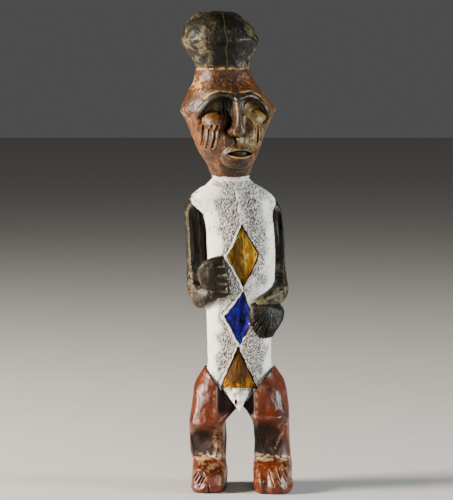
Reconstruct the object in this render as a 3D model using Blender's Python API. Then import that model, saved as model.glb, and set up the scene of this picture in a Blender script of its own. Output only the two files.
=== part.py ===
"""Carved standing figure: topknot, faceted head, painted trunk with lozenges, hands on belly, bent legs.

Metres, +Z up, the figure faces -Y and stands on its soles at Z = 0, with the middle of its box at X = Y = 0.
Tables are in millimetres, measured in an upright, straight figure; stance() then gives every
point the lean and the turn that the figure has, and moves it over the middle of its box.
"""

import math

import bmesh
import bpy
from mathutils import Vector

MM = 0.001
GAP = 0.3  # clear seam between neighbouring members, mm

# Heights of the seams, mm
ANKLE = 30.0
NECK = 293.0
CROWN = 395.7
YOKE = 262.0  # underside of the shoulders
ARM_TOP = 267.0  # the arms are let into the shoulders this high
TOP = 450.0

# The V-shaped lower edge of the trunk, which sits between the thighs
LOIN_TIP = 74.0
LOIN_SLOPE = 1.25

# How the figure stands: height, lean to its left, and turn to its left in degrees
STANCE = [
    (0, 2.0, -3.5),
    (75, 0.9, -3.5),
    (120, 0.6, -3.5),
    (165, 0.4, 1.5),
    (222, -1.6, 12.0),
    (250, -3.2, 12.0),
    (275, -6.3, 12.0),
    (293, -7.6, 12.5),
    (320, -9.2, 14.0),
    (357, -11.6, 16.0),
    (450, -19.5, 16.0),
]
BOX_MIDDLE = Vector((-1.24, -4.42, 0.0))

COLOURS = {
    "black_patina": ((0.045, 0.042, 0.032), 0.55),
    "brown_wood": ((0.33, 0.15, 0.055), 0.40),
    "white_kaolin": ((0.78, 0.76, 0.70), 0.90),
    "ochre_paint": ((0.50, 0.24, 0.035), 0.75),
    "blue_paint": ((0.030, 0.025, 0.42), 0.60),
    "red_wood": ((0.30, 0.085, 0.030), 0.28),
}


# ---------------------------------------------------------------- points

def curve(knots):
    """A function from a place to its row of values, smooth and without overshoot; a knot is (place, value, ...)."""
    places = [knot[0] for knot in knots]
    spans = [b - a for a, b in zip(places, places[1:])]
    columns = list(zip(*knots))[1:]
    all_slopes = []
    for column in columns:
        rises = [(b - a) / span for a, b, span in zip(column, column[1:], spans)]
        inner = [2 * a * b / (a + b) if a * b > 0 else 0.0 for a, b in zip(rises, rises[1:])]
        all_slopes.append([rises[0], *inner, rises[-1]])

    def row_at(place):
        i = max(0, sum(start <= place for start in places[:-1]) - 1)
        t = min(1.0, max(0.0, (place - places[i]) / spans[i]))
        row = []
        for column, slopes in zip(columns, all_slopes):
            ends = column[i] * (2 * t**3 - 3 * t**2 + 1) + column[i + 1] * (3 * t**2 - 2 * t**3)
            bend = slopes[i] * (t**3 - 2 * t**2 + t) + slopes[i + 1] * (t**3 - t**2)
            row.append(ends + bend * spans[i])
        return row

    return row_at


stance_at = curve(STANCE)


def stance(point):
    """Where a point of the straight figure is in the leaning, turning one, in metres."""
    x, y, z = point
    lean, turn = stance_at(z)
    turn = math.radians(turn)
    turned = Vector((x * math.cos(turn) - y * math.sin(turn) + lean, x * math.sin(turn) + y * math.cos(turn), z))
    return (turned - BOX_MIDDLE) * MM


def smooth_rows(rows, count):
    """count + 1 rows on smooth curves through the given rows, spaced by the distance between their middles."""
    along = [0.0]
    for before, after in zip(rows, rows[1:]):
        along.append(along[-1] + (Vector(after[:3]) - Vector(before[:3])).length)
    row_at = curve([(place, *row) for place, row in zip(along, rows)])
    return [row_at(along[-1] * step / count) for step in range(count + 1)]


def oval(half_u, half_v, square, sides):
    """Points of a superellipse; square 2 is an ellipse and higher is boxier."""
    for i in range(sides):
        angle = 2 * math.pi * i / sides
        c, s = math.cos(angle), math.sin(angle)
        yield (
            half_u * math.copysign(abs(c) ** (2 / square), c),
            half_v * math.copysign(abs(s) ** (2 / square), s),
        )


# ---------------------------------------------------------------- shapes

def new_object(name, bm):
    bmesh.ops.recalc_face_normals(bm, faces=bm.faces)
    mesh = bpy.data.meshes.new(name)
    bm.to_mesh(mesh)
    bm.free()
    made = bpy.data.objects.new(name, mesh)
    bpy.context.scene.collection.objects.link(made)
    return made


def skin(name, rings):
    """A closed shape through rings of points, with a flat face at each end."""
    bm = bmesh.new()
    loops = [[bm.verts.new(stance(p)) for p in ring] for ring in rings]
    for lower, upper in zip(loops, loops[1:]):
        for i in range(len(lower)):
            j = (i + 1) % len(lower)
            bm.faces.new((lower[i], lower[j], upper[j], upper[i]))
    bm.faces.new(loops[0])
    bm.faces.new(loops[-1])
    return new_object(name, bm)


def level_loft(name, rows, count, sides=28, grow=0.0):
    """A member cut in level slices. A row is x, y, z of the slice's middle, half width, half depth, squareness."""
    rings = []
    for x, y, z, wide, deep, square in smooth_rows(rows, count):
        rings.append([(x + u, y + v, z) for u, v in oval(wide + grow, deep + grow, square, sides)])
    if grow:
        bottom = [(x, y, z - grow) for x, y, z in rings[0]]
        top = [(x, y, z + grow) for x, y, z in rings[-1]]
        rings = [bottom, *rings, top]
    return skin(name, rings)


def front_y(rows, x, z):
    """Y of the front of a level loft, at this X and height."""
    middle_x, middle_y, wide, deep, square = curve([(row[2], row[0], row[1], *row[3:]) for row in rows])(z)
    across = min(1.0, abs((x - middle_x) / wide))
    return middle_y - deep * (1 - across**square) ** (1 / square)


def bent_loft(name, rows, count, outward, sides=20, grow=0.0):
    """A member that follows a bent line. A row is x, y, z, half thickness outwards, half width across, squareness."""
    smooth = smooth_rows(rows, count)
    rings = []
    for i, (x, y, z, thick, high, square) in enumerate(smooth):
        before, after = smooth[max(0, i - 1)], smooth[min(len(smooth) - 1, i + 1)]
        along = (Vector(after[:3]) - Vector(before[:3])).normalized()
        out = (outward - along * outward.dot(along)).normalized()
        across = along.cross(out)
        middle = Vector((x, y, z))
        if grow and i in (0, len(smooth) - 1):
            middle += along * (grow if i else -grow)
        rings.append([middle + out * u + across * v for u, v in oval(thick + grow, high + grow, square, sides)])
    return skin(name, rings)


def mirrored(rows):
    return [(-x, y, z, *rest) for x, y, z, *rest in rows]


def hull(name, points):
    """The faceted block with these corners."""
    bm = bmesh.new()
    for point in points:
        bm.verts.new(stance(point))
    bmesh.ops.convex_hull(bm, input=bm.verts)
    return new_object(name, bm)


def prism(name, outline, front, back):
    """An outline in X and Z, as deep as from front to back in Y."""
    bm = bmesh.new()
    near = [bm.verts.new(stance((x, front, z))) for x, z in outline]
    far = [bm.verts.new(stance((x, back, z))) for x, z in outline]
    bm.faces.new(near)
    bm.faces.new(far)
    for i in range(len(outline)):
        j = (i + 1) % len(outline)
        bm.faces.new((near[i], near[j], far[j], far[i]))
    return new_object(name, bm)


def ball(name, middle, radii, rows=8, sides=16):
    """An ellipsoid."""
    rings = []
    for i in range(1, rows):
        angle = math.pi * i / rows
        z = middle[2] - radii[2] * math.cos(angle)
        wide, deep = radii[0] * math.sin(angle), radii[1] * math.sin(angle)
        rings.append([(middle[0] + u, middle[1] + v, z) for u, v in oval(wide, deep, 2.0, sides)])
    return skin(name, rings)


def notch(name, start, end, wide, deep):
    """A V-shaped gouge mark from start to end on the front, tapered to a point at start."""
    start, end = Vector(start), Vector(end)
    across = Vector((0, -1, 0)).cross(end - start).normalized() * wide / 2
    inward, outward = Vector((0, deep, 0)), Vector((0, -8.0, 0))
    corners = [
        start + outward, start + inward * 0.2,
        end + across + outward, end - across + outward,
        end + across, end - across, end + inward,
    ]
    return hull(name, corners)


# ---------------------------------------------------------------- joining and cutting

def helper(tool):
    tool.hide_render = True
    tool.display_type = "WIRE"
    return tool


def combine(piece, operation, *tools):
    for tool in tools:
        change = piece.modifiers.new(f"{operation.lower()}_{tool.name}", "BOOLEAN")
        change.operation = operation
        change.solver = "EXACT"
        change.object = helper(tool)


def cut(piece, *tools):
    combine(piece, "DIFFERENCE", *tools)


def join(piece, *tools):
    combine(piece, "UNION", *tools)


def finish(piece, finish_name):
    colour, rough = COLOURS[finish_name]
    material = bpy.data.materials.get(finish_name) or bpy.data.materials.new(finish_name)
    material.use_nodes = True
    surface = material.node_tree.nodes["Principled BSDF"]
    surface.inputs["Base Color"].default_value = (*colour, 1.0)
    surface.inputs["Roughness"].default_value = rough
    surface.inputs["Metallic"].default_value = 0.0
    piece.data.materials.append(material)
    piece.data.shade_smooth()
    piece.data.set_sharp_from_angle(angle=math.radians(35))
    return piece


# ---------------------------------------------------------------- members

def topknot():
    """Mushroom of hair: a dome over a soft ridge, narrowing to the crown of the head."""
    rows = [
        (0, 2, CROWN + GAP, 24.0, 24.0, 2.2),
        (0, 3, 404, 27.5, 28.0, 2.2),
        (0, 4, 413, 32.2, 33.5, 2.2),
        (0, 4, 420, 35.6, 37.0, 2.2),
        (0, 4, 423, 35.4, 37.0, 2.2),
        (0, 4, 431, 33.0, 34.5, 2.1),
        (0, 4, 438, 27.2, 29.0, 2.0),
        (0, 4, 444, 19.0, 21.0, 2.0),
        (0, 4, 448, 11.0, 12.0, 2.0),
        (0, 4, TOP, 2.5, 2.5, 2.0),
    ]
    return finish(level_loft("topknot", rows, 18), "black_patina")


HEAD_ROWS = [
    (0, 1, NECK + GAP, 17.3, 17.0, 2.0),
    (-0.6, -2, 306, 22.0, 25.0, 2.0),
    (-1.2, -3, 316, 27.4, 31.5, 2.0),
    (-0.8, -3, 329, 32.6, 36.0, 2.0),
    (0.4, -1, 343, 38.6, 38.0, 2.0),
    (1.2, 1, 353, 43.6, 39.0, 1.9),
    (1.2, 1, 357, 45.4, 39.2, 1.85),
    (1.0, 1, 361, 43.4, 38.6, 1.9),
    (0.4, 1, 373, 35.2, 35.0, 2.05),
    (0, 2, 385, 28.2, 28.5, 2.1),
    (0, 2, CROWN, 23.9, 24.0, 2.2),
]
# Brow ridge of one side: x, height, half thickness
BROW = [(0, 369.5, 3.0), (7, 373.0, 3.0), (14, 374.0, 2.9), (24, 370.0, 2.6), (32, 360.5, 1.8)]
# Cheek scars: x and height at the top, x and height at the bottom
SCARS = [
    (-22.7, 344, -24.8, 325), (-27.0, 344, -28.4, 323), (-31.0, 344, -30.6, 326),
    (20.8, 342, 20.6, 328), (26.1, 342, 25.6, 329),
]


def brow():
    rows = [(x, front_y(HEAD_ROWS, x, z) - 0.8, z, 3.2, half, 2.0) for x, z, half in BROW]
    return bent_loft("brow_tool", [*mirrored(rows)[:0:-1], *rows], 20, Vector((0, -1, 0)), sides=10)


def head():
    """Two cones that meet at pointed temples, with brows, nose, swollen lids, lips and cheek scars."""
    piece = level_loft("head", HEAD_ROWS, 20, sides=40)
    eyes = []
    for name, side in (("right", -1), ("left", 1)):
        cut(piece, ball(f"{name}_hollow_tool", (side * 17.5, -38, 356), (13.5, 9.0, 15.5)))
        eyes.append(ball(f"{name}_eye_tool", (side * 21.5, -25.5, 351), (10.5, 9.0, 7.5)))
    nose = hull("nose_tool", [
        (-3.0, -36, 369), (3.0, -36, 369), (-2.2, -40.5, 365), (2.2, -40.5, 365),
        (-9.5, -37, 336), (5.5, -37, 336), (-9.0, -42, 334.5), (5.0, -42, 334.5),
        (-4.6, -48.0, 335.5), (0.6, -48.0, 335.5), (0, -30, 369), (-8, -30, 333), (4, -30, 333),
    ])
    join(piece, brow(), *eyes, nose, ball("lips_tool", (-0.4, -31.5, 316.8), (12.5, 10.5, 6.5)))
    cut(piece, hull("mouth_tool", [
        (-11, -50, 316.2), (11, -50, 316.2), (-10, -33, 316.2), (10, -33, 316.2),
        (0, -50, 318.6), (0, -50, 315.0), (0, -36, 318.0), (0, -36, 315.4),
    ]))
    for i, (top_x, top_z, low_x, low_z) in enumerate(SCARS):
        top = (top_x, front_y(HEAD_ROWS, top_x, top_z), top_z)
        low = (low_x, front_y(HEAD_ROWS, low_x, low_z), low_z)
        cut(piece, notch(f"scar_{i}_tool", top, low, 2.6, 2.6))
    return finish(piece, "brown_wood")


TRUNK_ROWS = [
    (0, 1, 66, 34.0, 26.0, 2.4),
    (0, 1, 108, 34.0, 27.5, 2.4),
    (0, 0.5, 114, 31.0, 28.0, 2.5),
    (0, 0, 120, 29.4, 28.5, 2.6),
    (0, -1.5, 145, 30.4, 29.5, 2.6),
    (0, -2.5, 170, 31.0, 30.0, 2.6),
    (0, -1.5, 200, 31.4, 29.5, 2.6),
    (0, 0, 225, 31.6, 29.0, 2.6),
    (0, 1.5, 246, 31.8, 28.5, 2.6),
    (0, 2, 262, 32.0, 28.0, 2.6),
    (0, 2, 274, 30.0, 26.0, 2.3),
]
YOKE_ROWS = [
    (0, 3, YOKE, 44.8, 22.0, 2.5),
    (0, 3, 269, 43.8, 22.5, 2.4),
    (0, 2.5, 276, 39.5, 22.5, 2.3),
    (0, 2, 282, 31.5, 21.0, 2.2),
    (0, 1.5, 287, 23.0, 19.0, 2.1),
    (0, 1, NECK, 17.3, 17.0, 2.0),
]
UPPER_ARM = [
    (37.0, 5.0, ARM_TOP, 8.6, 12.5, 2.4),
    (37.4, 5.3, 260, 9.4, 13.4, 2.5),
    (37.6, 5.5, 248, 9.4, 13.5, 2.5),
    (38.0, 5.0, 225, 9.0, 13.0, 2.5),
]
RIGHT_ARM = [
    *UPPER_ARM,
    (38.6, 4.0, 208, 9.0, 13.0, 2.5),
    (39.0, 1.5, 195, 9.3, 12.5, 2.4),
    (38.2, -5.0, 186, 9.3, 12.2, 2.4),
    (36.0, -12.0, 183, 8.8, 12.0, 2.4),
    (32.8, -18.5, 184, 8.0, 11.5, 2.4),
]
LEFT_ARM = [
    *UPPER_ARM,
    (38.2, 4.0, 204, 8.9, 13.0, 2.5),
    (38.2, -3.0, 190.5, 8.9, 12.5, 2.4),
    (34.8, -14.5, 185, 8.2, 10.8, 2.4),
    (27.5, -23.0, 181.8, 7.2, 8.0, 2.4),
    (20.0, -28.5, 179.4, 6.0, 5.6, 2.3),
    (13.5, -31.6, 177, 4.2, 3.4, 2.2),
]
RIGHT_HAND = [
    (-37.5, -17.5, 193, 6.0, 17.0, 2.6),
    (-33.0, -22.0, 196, 7.0, 19.0, 2.7),
    (-27.0, -27.0, 199.5, 7.4, 20.0, 2.8),
    (-21.0, -30.0, 202.5, 6.6, 19.8, 2.8),
    (-17.2, -31.0, 203.7, 4.6, 18.5, 2.8),
]
LEFT_HAND = [
    (28.5, -21.0, 145.3, 4.5, 5.0, 2.2),
    (28.0, -21.5, 149.5, 7.0, 11.0, 2.3),
    (26.5, -22.0, 157, 8.8, 15.0, 2.4),
    (25.5, -22.5, 166, 9.4, 16.6, 2.4),
    (25.0, -22.5, 175, 8.6, 15.0, 2.4),
]
LEFT_PALM = Vector((0.46, -0.89, 0.0))  # the way the back of the left hand faces


def right_arm(name="right_arm", grow=0.0):
    return bent_loft(name, mirrored(RIGHT_ARM), 18, Vector((-1, 0, 0)), grow=grow)


def left_arm(name="left_arm", grow=0.0):
    return bent_loft(name, LEFT_ARM, 20, Vector((1, 0, 0)), grow=grow)


def right_hand(name="right_hand", grow=0.0):
    return bent_loft(name, RIGHT_HAND, 8, Vector((0, -1, 0)), grow=grow)


def left_hand(name="left_hand", grow=0.0):
    return bent_loft(name, LEFT_HAND, 8, LEFT_PALM, grow=grow)


# Corners of the painted panels as x and height, and the y of the back of each
LOZENGES = {
    "upper_lozenge": ([(0.6, 248.0), (14.0, 222.0), (0.3, 191.6), (-15.4, 219.5)], -22.5),
    "middle_lozenge": ([(0.9, 186.6), (11.2, 162.5), (1.8, 137.6), (-14.4, 164.5)], -25.0),
    "lower_lozenge": ([(0.2, 134.4), (17.2, 97.2), (-16.2, 97.2)], -21.5),
}
LOIN_POINT = [(13.0, 96.7), (1.8, 75.6), (-14.8, 96.7)]
LOIN_BACK = -20.0
HEART = {"upper_lozenge": (1.0, 219.0), "middle_lozenge": (0.5, 163.0), "lower_lozenge": (0.4, 97.2)}


def loin_edge(seam=0.0):
    """The V of the trunk's lower edge as x and height, or a line that is the seam below it."""
    drop = seam * math.hypot(1.0, LOIN_SLOPE)
    return [(x, LOIN_TIP + abs(x) * LOIN_SLOPE - drop) for x in (-36, 0, 36)]


def spread(outline, grow):
    """The outline with every side moved out by at least grow."""
    corners = [Vector(corner) for corner in outline]
    middle = sum(corners, Vector((0, 0))) / len(corners)
    nearest = min(
        abs((b - a).normalized().cross(middle - a)) for a, b in zip(corners, corners[1:] + corners[:1])
    )
    return [tuple(middle + (corner - middle) * (1 + grow / nearest)) for corner in corners]


def panel(name, outline, back, heart, sink):
    """A thin tile: its rim is a little behind the trunk's skin, and its face sinks to the heart or rises to it."""
    bm = bmesh.new()
    rim = [bm.verts.new(stance((x, front_y(TRUNK_ROWS, x, z) + 0.6, z))) for x, z in outline]
    rear = [bm.verts.new(stance((x, back, z))) for x, z in outline]
    centre = bm.verts.new(stance((heart[0], front_y(TRUNK_ROWS, *heart) + sink, heart[1])))
    bm.faces.new(rear)
    for i in range(len(outline)):
        j = (i + 1) % len(outline)
        bm.faces.new((rim[i], rim[j], rear[j], rear[i]))
        bm.faces.new((rim[i], rim[j], centre))
    return new_object(name, bm)


def lozenges():
    """Two sunken panels and a swelling one, painted ochre, blue and ochre."""
    for name, (outline, back) in LOZENGES.items():
        sink = -3.0 if name == "lower_lozenge" else 3.4
        heart = HEART[name]
        if name == "lower_lozenge":
            heart = (heart[0], heart[1] + 4.0)
        piece = panel(name, outline, back, heart, sink)
        if name == "middle_lozenge":
            cut(piece, left_hand("left_hand_clearance_tool", GAP))
        finish(piece, "blue_paint" if name == "middle_lozenge" else "ochre_paint")


def loin_point(name="loin_point", grow=0.0):
    """The white point under the lowest panel, ridged down the middle."""
    (right, high), (tip, low), (left, _) = spread(LOIN_POINT, grow)
    front, back = -26.0 - grow, LOIN_BACK + grow
    return hull(name, [
        (left, front, high), (right, front, high), (left, back, high), (right, back, high),
        (tip - 0.5, -33.0 - grow, high), (tip, -35.5 - grow, low + 3.0), (tip, -33.0, low), (tip, back, low + 1.0),
    ])


def trunk():
    """Neck, shoulders and barrel down to the V of the loins, with seats for arms, hands and lozenges."""
    piece = level_loft("torso", TRUNK_ROWS, 22, sides=36)
    join(piece, level_loft("yoke_tool", YOKE_ROWS, 8, sides=36))
    point_seat = [(-15.2, 97.0), (13.4, 97.0), (13.4, 60), (-15.2, 60)]
    cut(
        piece,
        prism("loin_tool", [*loin_edge(), (36, 40), (-36, 40)], -60, 60),
        prism("loin_point_seat_tool", point_seat, -45, LOIN_BACK + GAP),
        right_hand("right_hand_seat_tool", GAP),
        left_hand("left_hand_seat_tool", GAP),
        right_arm("right_arm_seat_tool", GAP),
        left_arm("left_arm_seat_tool", GAP),
    )
    for name, (outline, back) in LOZENGES.items():
        cut(piece, prism(f"{name}_seat_tool", spread(outline, GAP), -45, back + GAP))
    return finish(piece, "white_kaolin")


def arms_and_hands():
    """Arms hang from the yoke and bend forward; the right hand has four clefts, the left is a closed mitt."""
    pieces = {"right_arm": right_arm(), "left_arm": left_arm(), "right_hand": right_hand(), "left_hand": left_hand()}
    cut(pieces["right_hand"], right_arm("right_wrist_tool", GAP))
    cut(pieces["left_hand"], left_arm("left_wrist_tool", GAP))
    for i, z in enumerate((211.0, 202.5, 194.0, 187.0)):
        cleft = notch(f"right_cleft_{i}_tool", (-31.0, -35.0, z), (-14.0, -36.5, z + 2.0), 4.2, 3.2)
        cut(pieces["right_hand"], cleft)
    for i in range(3):
        angle = math.radians(-128 + 26 * i)
        heart = Vector((26.0, -30.0, 171.0))
        ray = Vector((math.cos(angle), -0.46 * math.cos(angle) + 0.12, math.sin(angle)))
        cut(pieces["left_hand"], notch(f"left_cleft_{i}_tool", heart + ray * 7.0, heart + ray * 22.0, 3.0, 2.4))
    for piece in pieces.values():
        finish(piece, "black_patina")


LEG_ROWS = {
    # inner and outer edge, front and back edge, height, squareness
    "right": [
        (13.2, 42.6, -19.0, 20.0, ANKLE + GAP, 2.5),
        (13.4, 43.8, -19.5, 21.5, 38, 2.5),
        (13.2, 45.2, -24.0, 22.0, 48, 2.5),
        (12.6, 45.8, -33.0, 18.0, 57, 2.6),
        (11.5, 45.8, -37.5, 18.0, 64, 2.7),
        (7.5, 45.6, -36.0, 25.0, 71.5, 2.7),
        (1.8, 44.9, -33.5, 30.0, 80, 2.7),
        (GAP / 2, 43.0, -31.0, 33.0, 90, 2.6),
        (GAP / 2, 40.0, -29.0, 33.0, 99, 2.5),
        (GAP / 2, 34.0, -28.0, 31.0, 108, 2.5),
        (GAP / 2, 29.5, -27.0, 29.0, 118, 2.5),
    ],
    "left": [
        (13.0, 47.2, -19.0, 20.0, ANKLE + GAP, 2.5),
        (12.8, 46.4, -19.5, 21.5, 40, 2.5),
        (12.4, 46.2, -24.0, 22.0, 51, 2.5),
        (11.6, 46.2, -33.5, 18.0, 62, 2.6),
        (10.2, 46.2, -37.5, 18.0, 69, 2.7),
        (6.5, 46.0, -36.0, 25.0, 75, 2.7),
        (1.8, 45.6, -33.5, 30.0, 83, 2.7),
        (GAP / 2, 44.2, -31.0, 33.0, 92, 2.6),
        (GAP / 2, 40.8, -29.0, 33.0, 101, 2.5),
        (GAP / 2, 35.2, -28.0, 31.0, 109.5, 2.5),
        (GAP / 2, 30.0, -27.0, 29.0, 118, 2.5),
    ],
}
FOOT_ROWS = {
    "right": [
        (14.5, 44.0, -43.5, 20.0, 0, 3.2),
        (13.0, 45.4, -46.0, 22.5, 5, 3.2),
        (11.5, 46.0, -46.5, 23.0, 12, 3.0),
        (12.0, 45.6, -41.0, 23.0, 20, 2.9),
        (13.4, 44.6, -33.0, 21.5, 27, 2.8),
        (14.6, 43.4, -28.0, 19.0, ANKLE, 2.7),
    ],
    "left": [
        (15.5, 48.0, -46.0, 20.0, 0, 3.2),
        (13.8, 50.0, -48.0, 22.5, 5, 3.2),
        (12.8, 50.6, -48.0, 23.0, 12, 3.0),
        (12.8, 50.0, -42.0, 23.0, 20, 2.9),
        (13.4, 48.8, -33.0, 21.5, 27, 2.8),
        (14.2, 47.6, -28.0, 19.0, ANKLE, 2.7),
    ],
}


def from_edges(rows, side):
    """Slice rows from rows of edges, on the given side of the body."""
    return [
        (side * (inner + outer) / 2, (front + back) / 2, z, (outer - inner) / 2, (back - front) / 2, square)
        for inner, outer, front, back, z, square in rows
    ]


def leg(name, side):
    """Bent leg from the loins to the ankle: the thigh comes forward to the knee and the shin drops back."""
    piece = level_loft(f"{name}_leg", from_edges(LEG_ROWS[name], side), 22, sides=28)
    above = [*loin_edge(GAP), (36, 150), (-36, 150)]
    cut(piece, prism(f"{name}_leg_top_tool", above, -60, 60), loin_point(f"{name}_leg_point_tool", GAP))
    return finish(piece, "red_wood")


def foot(name, side):
    """Blunt foot with a flat sole and four toe cuts."""
    piece = level_loft(f"{name}_foot", from_edges(FOOT_ROWS[name], side), 10, sides=28)
    for i in range(4):
        x = side * (24.5 + 5.2 * i)
        start = (x + side * (1.5 + i), -35.0 + 1.0 * i, 25.0)
        end = (x, -46.5 + 0.9 * i, 8.0 + 1.5 * i)
        cut(piece, notch(f"{name}_toe_{i}_tool", start, end, 2.4, 2.2))
    return finish(piece, "red_wood")


def build():
    for old in list(bpy.data.objects):
        bpy.data.objects.remove(old)
    topknot()
    head()
    trunk()
    arms_and_hands()
    lozenges()
    finish(loin_point(), "white_kaolin")
    for name, side in (("right", -1), ("left", 1)):
        leg(name, side)
        foot(name, side)


build()
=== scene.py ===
import math

import bpy
import numpy as np
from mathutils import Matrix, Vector


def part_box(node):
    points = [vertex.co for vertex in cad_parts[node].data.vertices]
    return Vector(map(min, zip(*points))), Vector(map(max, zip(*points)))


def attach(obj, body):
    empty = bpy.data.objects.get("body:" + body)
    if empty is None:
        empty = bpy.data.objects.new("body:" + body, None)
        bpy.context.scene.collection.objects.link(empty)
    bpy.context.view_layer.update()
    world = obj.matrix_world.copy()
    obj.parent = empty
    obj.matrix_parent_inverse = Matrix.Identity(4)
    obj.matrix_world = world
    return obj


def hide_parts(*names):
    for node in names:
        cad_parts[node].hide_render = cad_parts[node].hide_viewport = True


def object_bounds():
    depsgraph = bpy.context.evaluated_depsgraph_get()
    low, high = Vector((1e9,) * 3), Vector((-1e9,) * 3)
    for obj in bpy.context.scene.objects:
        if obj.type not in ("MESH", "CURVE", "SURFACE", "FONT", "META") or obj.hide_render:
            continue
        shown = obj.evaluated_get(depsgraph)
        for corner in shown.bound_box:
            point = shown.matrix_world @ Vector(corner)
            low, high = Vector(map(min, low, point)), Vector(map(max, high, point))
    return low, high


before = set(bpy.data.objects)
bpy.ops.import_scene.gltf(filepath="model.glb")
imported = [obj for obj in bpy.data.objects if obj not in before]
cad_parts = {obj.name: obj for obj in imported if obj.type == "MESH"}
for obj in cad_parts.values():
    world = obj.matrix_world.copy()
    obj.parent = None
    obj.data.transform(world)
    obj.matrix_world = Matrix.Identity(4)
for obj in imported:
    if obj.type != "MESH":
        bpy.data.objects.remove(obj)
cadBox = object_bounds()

print("frame loaded:", len(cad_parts), "nodes")

# The figure is drawn upright and straight, in units of its height / 450, and faces -Y.
# standing() then leans and turns it and puts it in the middle of the frame's box.
figure = {
    "tall": 450.0,
    "middle": (-1.24, -4.42),
    "stance": [  # height, lean, turn in degrees
        (0, 2.0, -3.5), (75, 0.9, -3.5), (120, 0.6, -3.5), (165, 0.4, 1.5), (222, -1.6, 12.0),
        (250, -3.2, 12.0), (275, -6.3, 12.0), (293, -7.6, 12.5), (320, -9.2, 14.0),
        (357, -11.6, 16.0), (450, -19.5, 16.0),
    ],
    "loinTip": 74.0,  # lowest point of the V between trunk and thighs
    "loinSlope": 1.25,
}
detail = 1.0

unit = (cadBox[1][2] - cadBox[0][2]) / figure["tall"]
boxMiddle = [(low + high) / 2 for low, high in zip(cadBox[0], cadBox[1])]


def levelOf(node, end):  # height of a node's lower (0) or upper (1) end, in figure units
    return (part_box(node)[end][2] - cadBox[0][2]) / unit


neckLevel = levelOf("torso", 1)
crownLevel = levelOf("topknot", 0)


def curveThrough(places, values):
    places = np.asarray(places, float)
    values = np.asarray(values, float)
    span = np.diff(places)
    rise = np.diff(values, axis=0) / span[:, None]
    before, after = rise[:-1], rise[1:]
    same = before * after > 0
    inner = np.where(same, 2 * before * after / np.where(same, before + after, 1), 0)
    slope = np.vstack([rise[:1], inner, rise[-1:]])

    def at(where):
        where = np.asarray(where, float)
        i = np.clip(np.searchsorted(places, where, side="right") - 1, 0, len(span) - 1)
        t = np.clip((where - places[i]) / span[i], 0, 1)[..., None]
        ends = values[i] * (2 * t**3 - 3 * t**2 + 1) + values[i + 1] * (3 * t**2 - 2 * t**3)
        return ends + (slope[i] * (t**3 - 2 * t**2 + t) + slope[i + 1] * (t**3 - t**2)) * span[i][..., None]

    return at


def graph(points):  # one value along a line of (place, value) points
    table = np.asarray(points, float)
    curve = curveThrough(table[:, 0], table[:, 1:])
    return lambda where: curve(where)[..., 0]


stanceTable = np.array(figure["stance"])
stanceAt = curveThrough(stanceTable[:, 0], stanceTable[:, 1:])


def standing(points):
    lean, turn = np.moveaxis(stanceAt(points[..., 2]), -1, 0)
    turn = np.radians(turn)
    x = points[..., 0] * np.cos(turn) - points[..., 1] * np.sin(turn) + lean - figure["middle"][0]
    y = points[..., 0] * np.sin(turn) + points[..., 1] * np.cos(turn) - figure["middle"][1]
    placed = np.stack([x, y, points[..., 2]], axis=-1) * unit
    return placed + np.array([boxMiddle[0], boxMiddle[1], cadBox[0][2]])


def ramp(start, end, value):  # 0 at start, 1 at end, smooth between
    t = np.clip((value - start) / (end - start), 0, 1)
    return t * t * (3 - 2 * t)


def bump(value, wide):  # 1 at 0, fading over about wide
    return np.exp(-((value / wide) ** 2))


def dish(x, z, middle, radii, edge=0.5):
    inside = 1 - ((x - middle[0]) / radii[0]) ** 2 - ((z - middle[1]) / radii[1]) ** 2
    return np.clip(inside, 0, 1) ** edge


def spot(x, z, middle, radii):  # like a dish but fading softly
    return np.exp(-1.3 * (((x - middle[0]) / radii[0]) ** 2 + ((z - middle[1]) / radii[1]) ** 2))


def spots(x, z, table):  # rows of strength, middle and radii
    return sum(strength * spot(x, z, middle, radii) for strength, middle, radii in table)


def lineGap(x, z, start, end):  # distance to a stretch, and how far along it
    dx, dz = end[0] - start[0], end[1] - start[1]
    along = np.clip(((x - start[0]) * dx + (z - start[1]) * dz) / (dx * dx + dz * dz), 0, 1)
    return np.hypot(x - start[0] - along * dx, z - start[1] - along * dz), along


def insideOutline(x, z, outline):  # distance inside a convex outline; negative outside
    corners = np.array(outline, float)
    middle = corners.mean(axis=0)
    nearest = np.full(np.shape(x), 1e9)
    for a, b in zip(corners, np.roll(corners, -1, axis=0)):
        normal = np.array([b[1] - a[1], a[0] - b[0]])
        normal /= np.linalg.norm(normal)
        if normal @ (middle - a) < 0:
            normal = -normal
        nearest = np.minimum(nearest, (x - a[0]) * normal[0] + (z - a[1]) * normal[1])
    return nearest


def noise(points, size, seed, octaves=1):  # smooth random values, about -1 to 1, in blots of that size
    period = 32
    table = np.random.default_rng(seed).uniform(-1, 1, (period, period, period))
    total = np.zeros(points.shape[:-1])
    strength = 1.0
    for octave in range(octaves):
        scaled = points / size * 2**octave + 20 * period + 7.3 * octave
        cell = np.floor(scaled).astype(int)
        f = scaled - cell
        f = f * f * (3 - 2 * f)
        for corner in range(8):
            pick = np.array([corner & 1, corner >> 1 & 1, corner >> 2 & 1])
            weight = np.prod(np.where(pick, f, 1 - f), axis=-1)
            i, j, k = np.moveaxis((cell + pick) % period, -1, 0)
            total += strength * weight * table[i, j, k]
        strength *= 0.5
    return total


# In every grid of points the first index runs along the member and the second goes round it.
def smoothRows(stations, count):
    table = np.array(stations, float)
    steps = np.hypot(np.linalg.norm(np.diff(table[:, :3], axis=0), axis=1), np.diff(table[:, 3]))
    travelled = np.concatenate([[0], np.cumsum(steps)])
    return curveThrough(travelled, table)(np.linspace(0, travelled[-1], count + 1))


def aroundAngles(count, front=0.45):  # starts at the back and is denser at the front
    t = np.arange(count) / count
    return 2 * math.pi * t + front * np.sin(2 * math.pi * t)


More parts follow.
